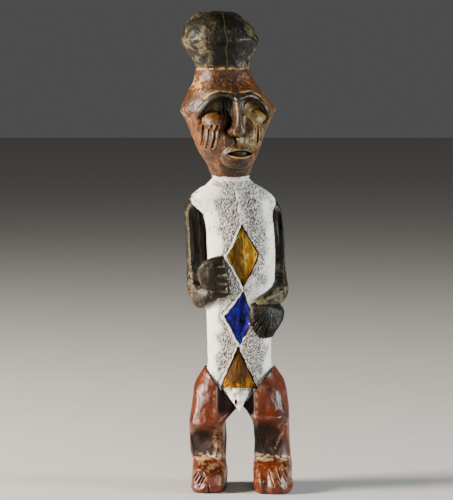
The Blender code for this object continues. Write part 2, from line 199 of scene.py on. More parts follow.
def ovalPoint(angle, square):
    s, c = np.sin(angle), np.cos(angle)
    return np.sign(s) * np.abs(s) ** (2 / square), np.sign(c) * np.abs(c) ** (2 / square)


def columnGrid(stations, rows, columns):  # level slices: x, y, z, half width, half depth, squareness
    rows, columns = round(rows * detail), round(columns * detail)
    table = smoothRows(stations, rows)
    u, v = ovalPoint(aroundAngles(columns)[None, :], table[:, 5:6])
    x = table[:, 0:1] + table[:, 3:4] * u
    y = table[:, 1:2] + table[:, 4:5] * v
    return np.stack([x, y, np.broadcast_to(table[:, 2:3], x.shape)], axis=-1)


def loinGrid(stations, rows, columns, low=None, high=None):
    # level slices again, but one end follows the V of the loins: trunk above it, legs below it
    rows, columns = round(rows * detail), round(columns * detail)
    table = np.array(stations, float)
    shape = curveThrough(table[:, 2], table)
    angle = np.broadcast_to(aroundAngles(columns)[None, :], (rows + 1, columns))
    share = np.linspace(0, 1, rows + 1)[:, None]
    edge = np.full(columns, figure["loinTip"] + 20.0)
    for _ in range(25):  # settles on the height where each line round the member meets the V
        ends = shape(edge)
        u, v = ovalPoint(angle[0], ends[:, 5])
        wanted = figure["loinTip"] + figure["loinSlope"] * np.abs(ends[:, 0] + ends[:, 3] * u)
        edge = edge * 0.6 + wanted * 0.4
    if low is None:
        z = edge[None, :] + share * (high - edge[None, :])
    else:
        z = low + share * (edge[None, :] - low)
    slices = shape(z)
    u, v = ovalPoint(angle, slices[..., 5])
    x = slices[..., 0] + slices[..., 3] * u
    y = slices[..., 1] + slices[..., 4] * v
    return np.stack([x, y, z], axis=-1)


def sweepGrid(stations, rows, columns, outward):
    # bent members: x, y, z, half thickness, half height, squareness
    rows, columns = round(rows * detail), round(columns * detail)
    table = smoothRows(stations, rows)
    middle = table[:, :3]
    along = np.gradient(middle, axis=0)
    along /= np.linalg.norm(along, axis=1, keepdims=True)
    out = np.array(outward) - along * (along @ np.array(outward))[:, None]
    out /= np.linalg.norm(out, axis=1, keepdims=True)
    across = np.cross(along, out)
    angle = 2 * math.pi * np.arange(columns)[None, :] / columns
    v, u = ovalPoint(angle, table[:, 5:6])
    reach = (table[:, 3:4] * u)[..., None] * out[:, None, :]
    return middle[:, None, :] + reach + (table[:, 4:5] * v)[..., None] * across[:, None, :]


def gridNormals(grid):
    around = np.roll(grid, -1, axis=1) - np.roll(grid, 1, axis=1)
    along = np.gradient(grid, axis=0)
    normal = np.cross(along, around)
    normal /= np.maximum(np.linalg.norm(normal, axis=-1, keepdims=True), 1e-9)
    outwards = np.sum(normal * (grid - grid.mean(axis=1, keepdims=True)))
    return normal if outwards > 0 else -normal


def softened(grid, times):
    made = grid
    for _ in range(times):
        beside = (np.roll(made, 1, axis=1) + np.roll(made, -1, axis=1)) / 2
        inner = made.copy()
        inner[1:-1] = (made[:-2] + made[2:]) / 2
        made = (beside + inner) / 2
    return made


def shaved(grid, cuts, depth, reach, seed, where=None, soft=2):
    # flat knife cuts: each takes off what stands in front of a plane just under the surface
    rng = np.random.default_rng(seed)
    normal = gridNormals(softened(grid, 4)).reshape(-1, 3)
    choices = np.arange(len(normal)) if where is None else np.flatnonzero(where)
    made = grid.reshape(-1, 3).copy()
    for pick in rng.choice(choices, cuts):
        deep = depth * rng.uniform(0.5, 1.2)
        near = np.flatnonzero(np.abs(made[:, 2] - made[pick, 2]) < reach)
        offset = made[near] - made[pick]
        fade = 1 - ramp(0.55 * reach, reach, np.linalg.norm(offset, axis=1))
        fade *= ramp(0.1, 0.6, normal[near] @ normal[pick])
        above = np.clip(offset @ normal[pick] + deep, 0, 1.7 * deep) * fade
        made[near] -= normal[pick] * above[:, None]
    return grid + softened(made.reshape(grid.shape) - grid, soft)


def roughened(grid, size, depth, seed, octaves=2):
    return grid + gridNormals(grid) * (noise(grid, size, seed, octaves) * depth)[..., None]


def newPiece(name, points, faces, masks):
    mesh = bpy.data.meshes.new(name)
    mesh.from_pydata(points.tolist(), [], faces)
    mesh.polygons.foreach_set("use_smooth", [True] * len(mesh.polygons))
    for label, values in masks.items():
        layer = mesh.attributes.new(label, "FLOAT", "POINT")
        layer.data.foreach_set("value", values.astype(np.float32))
    mesh.update()
    piece = bpy.data.objects.new(name, mesh)
    bpy.context.scene.collection.objects.link(piece)
    return piece


def gridPiece(name, grid, masks=None, blur=5, height=0.30):
    # a closed skin over a grid, with each end closed by a fan; ridges and hollows become masks for the finish
    normal = gridNormals(grid)
    relief = np.sum((grid - softened(grid, blur)) * normal, axis=-1)
    masks = dict(masks or {})
    masks["edge"] = np.clip(relief / height, 0, 1)
    masks["hollow"] = np.clip(-relief / height, 0, 1)
    rows, columns = grid.shape[:2]
    number = np.arange(rows * columns).reshape(rows, columns)
    beside = np.roll(number, -1, axis=1)
    quads = np.stack([number[:-1], number[1:], beside[1:], beside[:-1]], axis=-1).reshape(-1, 4)
    low, high = rows * columns, rows * columns + 1
    lowFan = np.stack([number[0], beside[0], np.full(columns, low)], axis=-1)
    highFan = np.stack([beside[-1], number[-1], np.full(columns, high)], axis=-1)
    points = standing(np.vstack([grid.reshape(-1, 3), grid[0].mean(axis=0), grid[-1].mean(axis=0)]))
    corner = points[quads]
    volume = np.sum(corner[:, 0] * np.cross(corner[:, 1], corner[:, 2]))
    volume += np.sum(corner[:, 0] * np.cross(corner[:, 2], corner[:, 3]))
    faces = quads.tolist() + lowFan.tolist() + highFan.tolist()
    if volume < 0:
        faces = [face[::-1] for face in faces]
    flat = {
        label: np.concatenate([np.ravel(values), [values[0].mean(), values[-1].mean()]])
        for label, values in masks.items()
    }
    return newPiece(name, points, faces, flat)


def tilePiece(name, corners, front, back, count, masksAt=None):
    # a shallow tile over four corners in x and z: a carved front, walls and a plain back
    count = round(count * detail)
    t = np.linspace(0, 1, count + 1)
    u, v = np.meshgrid(t, t, indexing="ij")
    a, b, c, d = [np.array(corner, float) for corner in corners]
    flat = (
        ((1 - u) * (1 - v))[..., None] * a + (u * (1 - v))[..., None] * b
        + (u * v)[..., None] * c + ((1 - u) * v)[..., None] * d
    )
    x, z = flat[..., 0], flat[..., 1]
    y = front(x, z)
    face = np.stack([x, y, z], axis=-1)
    rear = np.stack([x, np.full_like(x, back), z], axis=-1)
    size = (count + 1) ** 2
    number = np.arange(size).reshape(count + 1, count + 1)
    faces = np.stack([number[:-1, :-1], number[1:, :-1], number[1:, 1:], number[:-1, 1:]], axis=-1)
    faces = faces.reshape(-1, 4)
    rim = np.concatenate([number[:-1, 0], number[-1, :-1], number[:0:-1, -1], number[0, :0:-1]])
    after = np.roll(rim, -1)
    walls = np.stack([rim, rim + size, after + size, after], axis=-1)
    allFaces = faces.tolist() + (faces[:, ::-1] + size).tolist() + walls.tolist()
    points = standing(np.vstack([face.reshape(-1, 3), rear.reshape(-1, 3)]))
    corner = points[faces]
    away = np.cross(corner[:, 1] - corner[:, 0], corner[:, 2] - corner[:, 1]).sum(axis=0)
    if away[1] > 0:
        allFaces = [f[::-1] for f in allFaces]
    relief = softenedFlat(y, 5) - y
    masks = {"edge": np.clip(relief / 0.2, 0, 1), "hollow": np.clip(-relief / 0.2, 0, 1)}
    if masksAt:
        masks.update(masksAt(x, z))
    doubled = {label: np.concatenate([np.ravel(values)] * 2) for label, values in masks.items()}
    return newPiece(name, points, allFaces, doubled)


def softenedFlat(values, times):
    made = np.pad(values, 1, mode="edge")
    for _ in range(times):
        inner = (made[:-2, 1:-1] + made[2:, 1:-1] + made[1:-1, :-2] + made[1:-1, 2:]) / 4
        made = np.pad(inner, 1, mode="edge")
    return made[1:-1, 1:-1]


def place(piece, node, finish):
    piece.data.materials.append(finish)
    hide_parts(node)
    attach(piece, "root")
    low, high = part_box(node)
    coordinates = np.empty(len(piece.data.vertices) * 3)
    piece.data.vertices.foreach_get("co", coordinates)
    own = coordinates.reshape(-1, 3)
    off = max(max(abs(own.min(axis=0) - np.array(low))), max(abs(own.max(axis=0) - np.array(high))))
    print(f"{node}: {len(piece.data.polygons)} faces, within {off * 1000:.1f} mm of the frame's box")


def newFinish(name, roughness, shine=0.5):
    finish = bpy.data.materials.new(name)
    finish.use_nodes = True
    tree = finish.node_tree
    surface = tree.nodes["Principled BSDF"]
    surface.inputs["Roughness"].default_value = roughness
    surface.inputs["Specular IOR Level"].default_value = shine
    return finish, tree, surface


def addNode(tree, kind, settings=(), inputs=()):
    node = tree.nodes.new(kind)
    for label, value in dict(settings).items():
        setattr(node, label, value)
    for label, value in dict(inputs).items():
        if hasattr(value, "links"):
            tree.links.new(value, node.inputs[label])
        else:
            node.inputs[label].default_value = value
    return node


def scaledPlaces(tree, size, stretch, shift=(0, 0, 0)):  # the piece's own coordinates, in steps of that size
    own = addNode(tree, "ShaderNodeTexCoord").outputs["Object"]
    return addNode(tree, "ShaderNodeMapping", inputs={
        "Vector": own, "Location": shift, "Scale": [1 / (size * s) for s in stretch],
    }).outputs["Vector"]


def mottle(tree, size, low, high, stretch=(1, 1, 1), details=5, seed=0.0):
    # blotches of about that size in metres, 0 below low and 1 above high
    scaled = scaledPlaces(tree, size, stretch, (seed, seed * 1.7, -seed))
    cloud = addNode(tree, "ShaderNodeTexNoise", inputs={
        "Vector": scaled, "Scale": 1.0, "Detail": details, "Roughness": 0.6,
    }).outputs["Fac"]
    return limit(tree, cloud, low, high)


def cells(tree, size, low, high, stretch=(1, 1, 1), feature="F1"):
    scaled = scaledPlaces(tree, size, stretch)
    wobble = addNode(tree, "ShaderNodeTexNoise", inputs={"Vector": scaled, "Scale": 1.3, "Detail": 2.0})
    bent = addNode(tree, "ShaderNodeVectorMath", {"operation": "ADD"}, {
        0: scaled, 1: wobble.outputs["Color"],
    })
    found = addNode(tree, "ShaderNodeTexVoronoi", {"feature": feature}, {
        "Vector": bent.outputs["Vector"], "Scale": 1.0,
    })
    return limit(tree, found.outputs["Distance"], low, high)


def wormLines(tree, size, thick, stretch, seed):  # thin wandering marks, as a small gouge leaves
    scaled = scaledPlaces(tree, size, stretch, (seed, -seed, seed * 2))
    cloud = addNode(tree, "ShaderNodeTexNoise", inputs={"Vector": scaled, "Scale": 1.0, "Detail": 2.0})
    offset = addNode(tree, "ShaderNodeMath", {"operation": "SUBTRACT"}, {0: cloud.outputs["Fac"], 1: 0.5})
    gap = addNode(tree, "ShaderNodeMath", {"operation": "ABSOLUTE"}, {0: offset.outputs["Value"]})
    return limit(tree, gap.outputs["Value"], thick, thick * 0.3)


def limit(tree, value, low, high):
    return addNode(tree, "ShaderNodeMapRange", {"interpolation_type": "SMOOTHSTEP"}, {
        "Value": value, "From Min": low, "From Max": high,
    }).outputs["Result"]


def maskOf(tree, label, low=0.0, high=1.0):
    found = addNode(tree, "ShaderNodeAttribute", {"attribute_name": label}).outputs["Fac"]
    return limit(tree, found, low, high)


def combined(tree, kind, a, b):
    node = addNode(tree, "ShaderNodeMath", {"operation": kind, "use_clamp": True}, {0: a, 1: b})
    return node.outputs["Value"]


def scaledBy(tree, value, share):  # the share is a number or another mask
    return combined(tree, "MULTIPLY", value, share)


def layered(tree, under, layers):  # colours laid over each other, each with its mask
    for mask, colour in layers:
        over = addNode(tree, "ShaderNodeMix", {"data_type": "RGBA"})
        tree.links.new(mask, over.inputs["Factor"])
        for label, value in (("A", under), ("B", colour)):
            target = [s for s in over.inputs if s.name == label and s.type == "RGBA"][0]
            if hasattr(value, "links"):
                tree.links.new(value, target)
            else:
                target.default_value = (*value, 1.0)
        under = [s for s in over.outputs if s.type == "RGBA"][0]
    return under


def bumped(tree, surface, parts):  # parts are (height, strength, metres)
    normal = None
    for height, strength, metres in parts:
        node = addNode(tree, "ShaderNodeBump", inputs={
            "Height": height, "Strength": strength, "Distance": metres,
        })
        if normal is not None:
            tree.links.new(normal, node.inputs["Normal"])
        normal = node.outputs["Normal"]
    tree.links.new(normal, surface.inputs["Normal"])


def roughnessFrom(tree, surface, mask, low, high):
    spread = addNode(tree, "ShaderNodeMapRange", inputs={"Value": mask, "To Min": low, "To Max": high})
    tree.links.new(spread.outputs["Result"], surface.inputs["Roughness"])


def coated(surface, weight, roughness=0.30):  # a thin rubbed-in polish
    surface.inputs["Coat Weight"].default_value = weight
    surface.inputs["Coat Roughness"].default_value = roughness


brownLook = {
    "wood": (0.075, 0.0200, 0.0016),
    "slip": (0.155, 0.058, 0.008),
    "orange": (0.36, 0.105, 0.002),
    "dark": (0.0080, 0.0030, 0.0008),
    "tan": (0.46, 0.27, 0.10),
    "khaki": (0.105, 0.080, 0.022),
    "brow": (0.0065, 0.0075, 0.0075),
    "white": (0.66, 0.64, 0.57),
    "polish": 0.08,
}


def brownWood():
    finish, tree, surface = newFinish("handledBrownWood", roughness=0.34, shine=0.30)
    look = brownLook
    grain = mottle(tree, 0.0012, 0.40, 0.70, (1, 1, 3))
    clouds = mottle(tree, 0.015, 0.42, 0.62, (1, 1, 1.6), seed=2.0)
    stains = mottle(tree, 0.007, 0.48, 0.66, (1, 1, 1.3), seed=5.0)
    scuffs = mottle(tree, 0.0022, 0.55, 0.68, (1, 1, 1.5), details=7, seed=9.0)
    veins = wormLines(tree, 0.0055, 0.055, (1, 1, 1.4), 3.0)
    flakes = mottle(tree, 0.003, 0.30, 0.45)
    colour = layered(tree, look["wood"], [
        (scaledBy(tree, clouds, 0.34), look["slip"]),
        (scaledBy(tree, maskOf(tree, "orange"), 0.80), look["orange"]),
        (scaledBy(tree, stains, 0.78), look["dark"]),
        (scaledBy(tree, veins, 0.50), look["dark"]),
        (scaledBy(tree, grain, 0.45), look["dark"]),
        (scaledBy(tree, maskOf(tree, "khaki"), 0.80), look["khaki"]),
        (scaledBy(tree, scaledBy(tree, maskOf(tree, "khaki"), grain), 0.60), look["tan"]),
        (scaledBy(tree, maskOf(tree, "edge", 0.15, 0.9), 0.38), look["tan"]),
        (scaledBy(tree, maskOf(tree, "hollow", 0.1, 0.8), 0.85), look["dark"]),
        (scaledBy(tree, maskOf(tree, "deep"), 0.75), look["dark"]),
        (scaledBy(tree, maskOf(tree, "brow", 0.25, 0.75), 0.92), look["brow"]),
        (scaledBy(tree, scuffs, 0.28), look["tan"]),
        (scaledBy(tree, maskOf(tree, "pale", 0.2, 0.9), 0.75), look["tan"]),
        (scaledBy(tree, maskOf(tree, "white", 0.35, 0.6), flakes), look["white"]),
    ])
    tree.links.new(colour, surface.inputs["Base Color"])
    roughnessFrom(tree, surface, stains, 0.36, 0.56)
    bumped(tree, surface, [(grain, 0.35, 0.0003), (clouds, 0.20, 0.0008), (scuffs, 0.40, 0.0003)])
    coated(surface, look["polish"])
    return finish


blackLook = {
    "black": (0.0028, 0.0026, 0.0017),
    "shade": (0.0040, 0.0022, 0.0010),
    "olive": (0.016, 0.0145, 0.0045),
    "brown": (0.036, 0.013, 0.004),
    "tan": (0.20, 0.155, 0.09),
    "silver": (0.26, 0.23, 0.18),
    "khaki": (0.20, 0.185, 0.085),
    "white": (0.66, 0.64, 0.57),
    "polish": 0.06,
}


def blackPatina(name, wearAndHighlight, browned):
    finish, tree, surface = newFinish(name, roughness=0.36, shine=0.16)
    look = blackLook
    clouds = mottle(tree, 0.016, 0.44, 0.66, seed=3.0)
    patches = mottle(tree, 0.006, 0.50, 0.66, (1, 1, 1.4), seed=7.0)
    specks = mottle(tree, 0.0013, 0.52, 0.66, (1, 1, 1.8), seed=1.0)
    scratches = mottle(tree, 0.0009, 0.56, 0.72, (1, 1, 6), details=3, seed=4.0)
    rubbed = mottle(tree, 0.0024, 0.30, 0.78, seed=2.2)
    flakes = mottle(tree, 0.0022, 0.36, 0.50, seed=5.5)
    colour = layered(tree, look["black"], [
        (scaledBy(tree, clouds, 0.80), look["olive"]),
        (scaledBy(tree, patches, browned), look["brown"]),
        (scaledBy(tree, scaledBy(tree, clouds, patches), wearAndHighlight), look["tan"]),
        (scaledBy(tree, specks, 0.50), look["olive"]),
        (scaledBy(tree, scratches, 0.30), look["tan"]),
        (scaledBy(tree, maskOf(tree, "edge", 0.2, 0.95), 0.50), look["silver"]),
        (scaledBy(tree, maskOf(tree, "hollow", 0.2, 0.9), 0.8), look["black"]),
        (scaledBy(tree, maskOf(tree, "shade"), 0.93), look["shade"]),
        # tan where rubbed, and as a painted highlight where the worn mask marks lit rims and sides
        (scaledBy(tree, maskOf(tree, "wearAndHighlight", 0.05, 0.95), rubbed), look["tan"]),
        (scaledBy(tree, maskOf(tree, "khaki", 0.1, 0.8), 0.90), look["khaki"]),
        (scaledBy(tree, maskOf(tree, "white", 0.2, 0.8), flakes), look["white"]),
    ])
    tree.links.new(colour, surface.inputs["Base Color"])
    roughnessFrom(tree, surface, patches, 0.36, 0.58)
    bumped(tree, surface, [(patches, 0.25, 0.0006), (specks, 0.40, 0.0003), (scratches, 0.25, 0.0003)])
    coated(surface, look["polish"])
    return finish


whiteLook = {
    "white": (0.80, 0.78, 0.73),
    "cream": (0.66, 0.57, 0.44),
    "pink": (0.50, 0.31, 0.20),
    "grey": (0.16, 0.155, 0.130),
    "wood": (0.042, 0.030, 0.018),
    "patina": (0.0085, 0.0070, 0.0040),
}


def whiteKaolin():
    finish, tree, surface = newFinish("chalkyWhitePaint", roughness=0.80, shine=0.25)
    look = whiteLook
    pits = mottle(tree, 0.0012, 0.54, 0.64, (0.8, 0.8, 1.5), details=3, seed=6.0)
    clouds = mottle(tree, 0.012, 0.45, 0.65, (1, 1, 1.8), seed=8.0)
    thin = maskOf(tree, "thin", 0.0, 1.0)
    fineHatch = wormLines(tree, 0.0028, 0.050, (0.8, 0.8, 1.5), 1.5)
    wideHatch = wormLines(tree, 0.0046, 0.044, (0.8, 0.8, 1.7), 7.5)
    hatch = combined(tree, "MAXIMUM", fineHatch, wideHatch)
    marks = scaledBy(tree, hatch, limit(tree, thin, 0.10, 0.75))
    speckled = scaledBy(tree, pits, limit(tree, thin, 0.0, 0.9))
    colour = layered(tree, look["white"], [
        (scaledBy(tree, clouds, 0.30), look["cream"]),
        (scaledBy(tree, scaledBy(tree, clouds, pits), 0.55), look["pink"]),
        (scaledBy(tree, thin, 0.55), look["grey"]),
        (scaledBy(tree, speckled, 0.65), look["wood"]),
        (scaledBy(tree, marks, 0.92), look["wood"]),
        (scaledBy(tree, maskOf(tree, "hollow", 0.20, 0.9), 0.82), look["wood"]),
        (scaledBy(tree, maskOf(tree, "edge", 0.15, 0.8), 0.65), look["white"]),
        (maskOf(tree, "cut", 0.3, 0.8), look["wood"]),
        (scaledBy(tree, maskOf(tree, "pale", 0.3, 0.7), 0.85), look["white"]),
        (scaledBy(tree, maskOf(tree, "patina", 0.2, 0.8), 0.97), look["patina"]),
    ])
    tree.links.new(colour, surface.inputs["Base Color"])
    bumped(tree, surface, [(hatch, -0.75, 0.0009), (pits, -0.5, 0.0005), (clouds, 0.25, 0.0010)])
    return finish


panelLook = {
    "ochreEarthPaint": {
        "base": (0.42, 0.190, 0.006), "bright": (0.84, 0.540, 0.070),
        "dark": (0.034, 0.0110, 0.0006), "chip": (0.50, 0.38, 0.20),
    },
    "darkerOchreEarthPaint": {
        "base": (0.17, 0.060, 0.001), "bright": (0.52, 0.230, 0.006),
        "dark": (0.034, 0.0115, 0.0005), "chip": (0.40, 0.28, 0.12),
    },
    "deepBluePaint": {
        "base": (0.0050, 0.0015, 0.095), "bright": (0.028, 0.008, 0.46),
        "dark": (0.002, 0.0010, 0.012), "chip": (0.05, 0.05, 0.30),
    },
    "outline": (0.012, 0.008, 0.005),
    "fleck": (0.75, 0.70, 0.60),
}


def paintedPanel(name):
    look = panelLook[name]
    finish, tree, surface = newFinish(name, roughness=0.70, shine=0.12)
    clouds = mottle(tree, 0.006, 0.40, 0.66, (1, 1, 2.2), seed=2.5)
    grain = mottle(tree, 0.0012, 0.46, 0.66, (1, 1, 5), seed=3.5)
    chips = mottle(tree, 0.0020, 0.68, 0.74, seed=8.5)
    colour = layered(tree, look["base"], [
        (scaledBy(tree, clouds, 0.75), look["bright"]),
        (scaledBy(tree, grain, 0.55), look["dark"]),
        (scaledBy(tree, maskOf(tree, "hollow", 0.1, 0.8), 0.85), look["dark"]),
        (scaledBy(tree, maskOf(tree, "edge", 0.2, 0.9), 0.45), look["bright"]),
        # darker by the dusk mask: painted shade on the upper and lower panels, and mottle and an even
        # darkening elsewhere
        (scaledBy(tree, maskOf(tree, "paintedShadeAndMottle"), 0.86), look["dark"]),
        (scaledBy(tree, chips, 0.6), look["chip"]),
        (maskOf(tree, "cut", 0.3, 0.8), panelLook["outline"]),
        (maskOf(tree, "fleck", 0.4, 0.6), panelLook["fleck"]),
    ])
    tree.links.new(colour, surface.inputs["Base Color"])
    bumped(tree, surface, [(grain, 0.4, 0.0005), (clouds, 0.4, 0.0010)])
    return finish


redLook = {
    "wood": (0.105, 0.0165, 0.0020),
    "deep": (0.020, 0.0035, 0.0008),
    "dark": (0.0075, 0.0018, 0.0004),
    "khaki": (0.22, 0.118, 0.050),
    "pink": (0.36, 0.17, 0.10),
    "pale": (0.42, 0.32, 0.18),
    "polish": 0.06,
}


def redWood():
    finish, tree, surface = newFinish("glossyRedBrownWood", roughness=0.34, shine=0.34)
    look = redLook
    clouds = mottle(tree, 0.013, 0.42, 0.66, (1, 1, 1.8), seed=1.5)
    smears = mottle(tree, 0.0060, 0.53, 0.64, (1, 1, 2.6), seed=4.5)
    veins = cells(tree, 0.010, 0.0, 0.07, (1, 1, 1.8), "DISTANCE_TO_EDGE")
    notVeins = combined(tree, "SUBTRACT", 1.0, veins)
    grain = mottle(tree, 0.0013, 0.40, 0.70, (1, 1, 6), seed=9.5)
    dust = mottle(tree, 0.0024, 0.36, 0.56, (1, 1, 1.6), seed=6.6)
    flakes = mottle(tree, 0.003, 0.28, 0.52, seed=7.5)
    colour = layered(tree, look["wood"], [
        (scaledBy(tree, clouds, 0.75), look["deep"]),
        (scaledBy(tree, scaledBy(tree, notVeins, smears), 0.75), look["khaki"]),
        (scaledBy(tree, smears, 0.18), look["khaki"]),
        (scaledBy(tree, grain, 0.35), look["deep"]),
        (scaledBy(tree, maskOf(tree, "shade", 0.0, 0.9), 0.93), look["dark"]),
        (scaledBy(tree, maskOf(tree, "edge", 0.2, 0.95), 0.40), look["pink"]),
        (scaledBy(tree, maskOf(tree, "hollow", 0.2, 0.9), 0.7), look["dark"]),
        (scaledBy(tree, maskOf(tree, "khaki", 0.1, 0.9), dust), look["khaki"]),
        (scaledBy(tree, maskOf(tree, "pale", 0.2, 0.8), flakes), look["pale"]),
    ])
    tree.links.new(colour, surface.inputs["Base Color"])
    roughnessFrom(tree, surface, combined(tree, "MAXIMUM", smears, maskOf(tree, "shade")), 0.32, 0.75)
    bumped(tree, surface, [(grain, 0.25, 0.0002), (smears, 0.15, 0.0002)])
    coated(surface, look["polish"])
    return finish


topknotShape = {
    "stations": [  # x, y, z, half width, half depth, squareness
        (0, 2, crownLevel - 3.0, 20.0, 20.5, 2.2), (0, 2, crownLevel + 0.4, 24.2, 24.6, 2.2),
        (0, 3, 404, 27.9, 28.4, 2.2), (0, 4, 413, 32.6, 33.8, 2.2), (0, 4, 419.5, 35.6, 36.9, 2.2),
        (0, 4, 422.5, 35.8, 37.2, 2.2), (0, 4, 431, 33.7, 34.9, 2.1),
        (-0.3, 4, 438, 29.2, 30.6, 2.0), (-0.6, 4, 445, 22.0, 23.6, 2.0),
        (-1, 4, 449.5, 14.0, 15.0, 2.0), (-1, 4, 451.6, 5.5, 6.0, 2.0),
        (-1, 4, 451.9, 0.6, 0.6, 2.0),
    ],
    "crack": [  # height and sideways place
        (394, -2.0), (405, -2.2), (412, -3.4), (420, -3.0), (428, -4.0), (436, -3.2), (443, -1.6),
        (450, -0.4),
    ],
    "creaseRing": 421.5,  # height of the worn ring round the widest part
}


def topknot():
    shape = topknotShape
    grid = columnGrid(shape["stations"], rows=150, columns=330)
    grid = shaved(grid, cuts=120, depth=0.40, reach=15, seed=11)
    grid = roughened(grid, size=9, depth=0.30, seed=12, octaves=3)
    x, y, z = np.moveaxis(grid, -1, 0)
    ring = bump(z - shape["creaseRing"], 2.0)
    grid = grid + gridNormals(grid) * (0.45 * ring)[..., None]
    wander = graph(shape["crack"])(z) + 0.5 * noise(grid, 3.0, 13)
    crack = bump(x - wander, 0.32) * (y < 0) * ramp(396, 399, z) * ramp(-0.7, -0.2, noise(grid, 6, 14))
    grid = grid + gridNormals(grid) * (-0.5 * crack)[..., None]
    blotch = noise(grid, 11, 15, 3)
    fine = noise(grid, 3.5, 17, 3)
    # the worn blotches on the side that faces the key light are a painted highlight; the ring round the
    # widest part and the crown are wear
    wearAndHighlight = ramp(-0.2, 0.8, blotch + 0.6 * fine) * ramp(-6, -28, x) + 0.55 * ring * ramp(-0.2, 0.7, fine)
    shade = 1.1 * spot(x, z, (-5, 409), (15, 15)) * (y < 0)
    shade += 0.5 * ramp(-12, -2, x) * ramp(16, 4, x) * (y < 0)
    masks = {
        "wearAndHighlight": np.clip(0.95 * wearAndHighlight + 0.9 * bump(z - crownLevel, 2.6) * ramp(-0.9, 0.2, fine), 0, 1),
        "khaki": np.clip(0.75 * crack + 0.40 * ramp(2, 22, x) * ramp(-0.2, 0.8, blotch + fine), 0, 1),
        "shade": np.clip(shade, 0, 1),
    }
    piece = gridPiece("topknot_carved", grid, masks, height=0.6)
    place(piece, "topknot", blackPatina("blackHairPatina", 0.40, 0.30))


headShape = {
    "stations": [  # x, y, z, half width, half depth, squareness
        (0, 1, neckLevel - 2.5, 15.3, 15.2, 2.0), (0, 1, neckLevel + 0.4, 17.3, 17.1, 2.0),
        (-0.6, -2, 306, 22.0, 25.0, 2.0), (-1.2, -3, 316, 27.4, 31.5, 2.0),
        (-0.8, -3, 329, 32.6, 36.0, 2.0), (0.4, -1, 343, 38.4, 38.0, 2.0),
        (1.4, 1, 352, 43.2, 39.0, 1.88), (1.6, 1, 356.5, 45.6, 39.2, 1.80),
        (1.2, 1, 361, 43.4, 38.6, 1.88), (0.4, 1, 373, 35.2, 35.0, 2.05),
        (0, 2, 385, 28.2, 28.5, 2.1), (0, 2, crownLevel - 0.4, 24.0, 24.4, 2.2),
        (0, 2, crownLevel + 2.4, 20.5, 21.0, 2.2),
    ],
    "browLine": [  # upper edge of the brow band, x and z
        (-40, 350), (-33, 360), (-26, 368.0), (-20, 372.0), (-13, 374), (-6, 373.0), (0, 370.4),
        (7, 372.4), (14.5, 373.4), (21, 371.6), (28, 366.4), (34, 358.5), (40, 349),
    ],
    "noseRidge": [  # height and y
        (332.0, -39), (333.5, -45.5), (335.5, -48.6), (339, -48.6), (350, -45.8), (361, -41.6),
        (367, -38.6), (371, -35.6), (375, -32.0),
    ],
    "noseMiddle": [(331, -1.2), (336, -1.4), (350, -0.6), (372, 0.4)],  # height and x
    "noseHalf": [  # height and half width
        (331, 1.6), (333, 3.8), (335, 5.8), (337.5, 6.6), (340, 5.6), (343.5, 3.8), (347, 3.0),
        (353, 2.5), (364, 2.5), (374, 3.8),
    ],
    "eyes": [(-1, -18.6, 346.6, 11.2, 9.6), (1, 21.0, 350.6, 9.8, 6.8)],  # side, x, z, half sizes
    "scars": [
        ((-19.8, 342.5), (-22.4, 322.5)), ((-24.2, 342.5), (-26.4, 321.5)), ((-28.2, 342), (-29.4, 324)),
        ((20.4, 342), (20.0, 327)), ((25.2, 341), (24.7, 329)),
    ],
    "mouth": (0.9, 316.6),
    "warmSpots": [  # strength, middle and radii of the orange places
        (1.0, (10, 380), (11, 9)), (1.0, (-40, 350), (9, 12)), (0.8, (-33, 330), (9, 18)),
        (1.0, (17, 312), (11, 9)), (0.8, (-14, 308), (9, 9)), (0.6, (32, 372), (5, 12)),
    ],
}


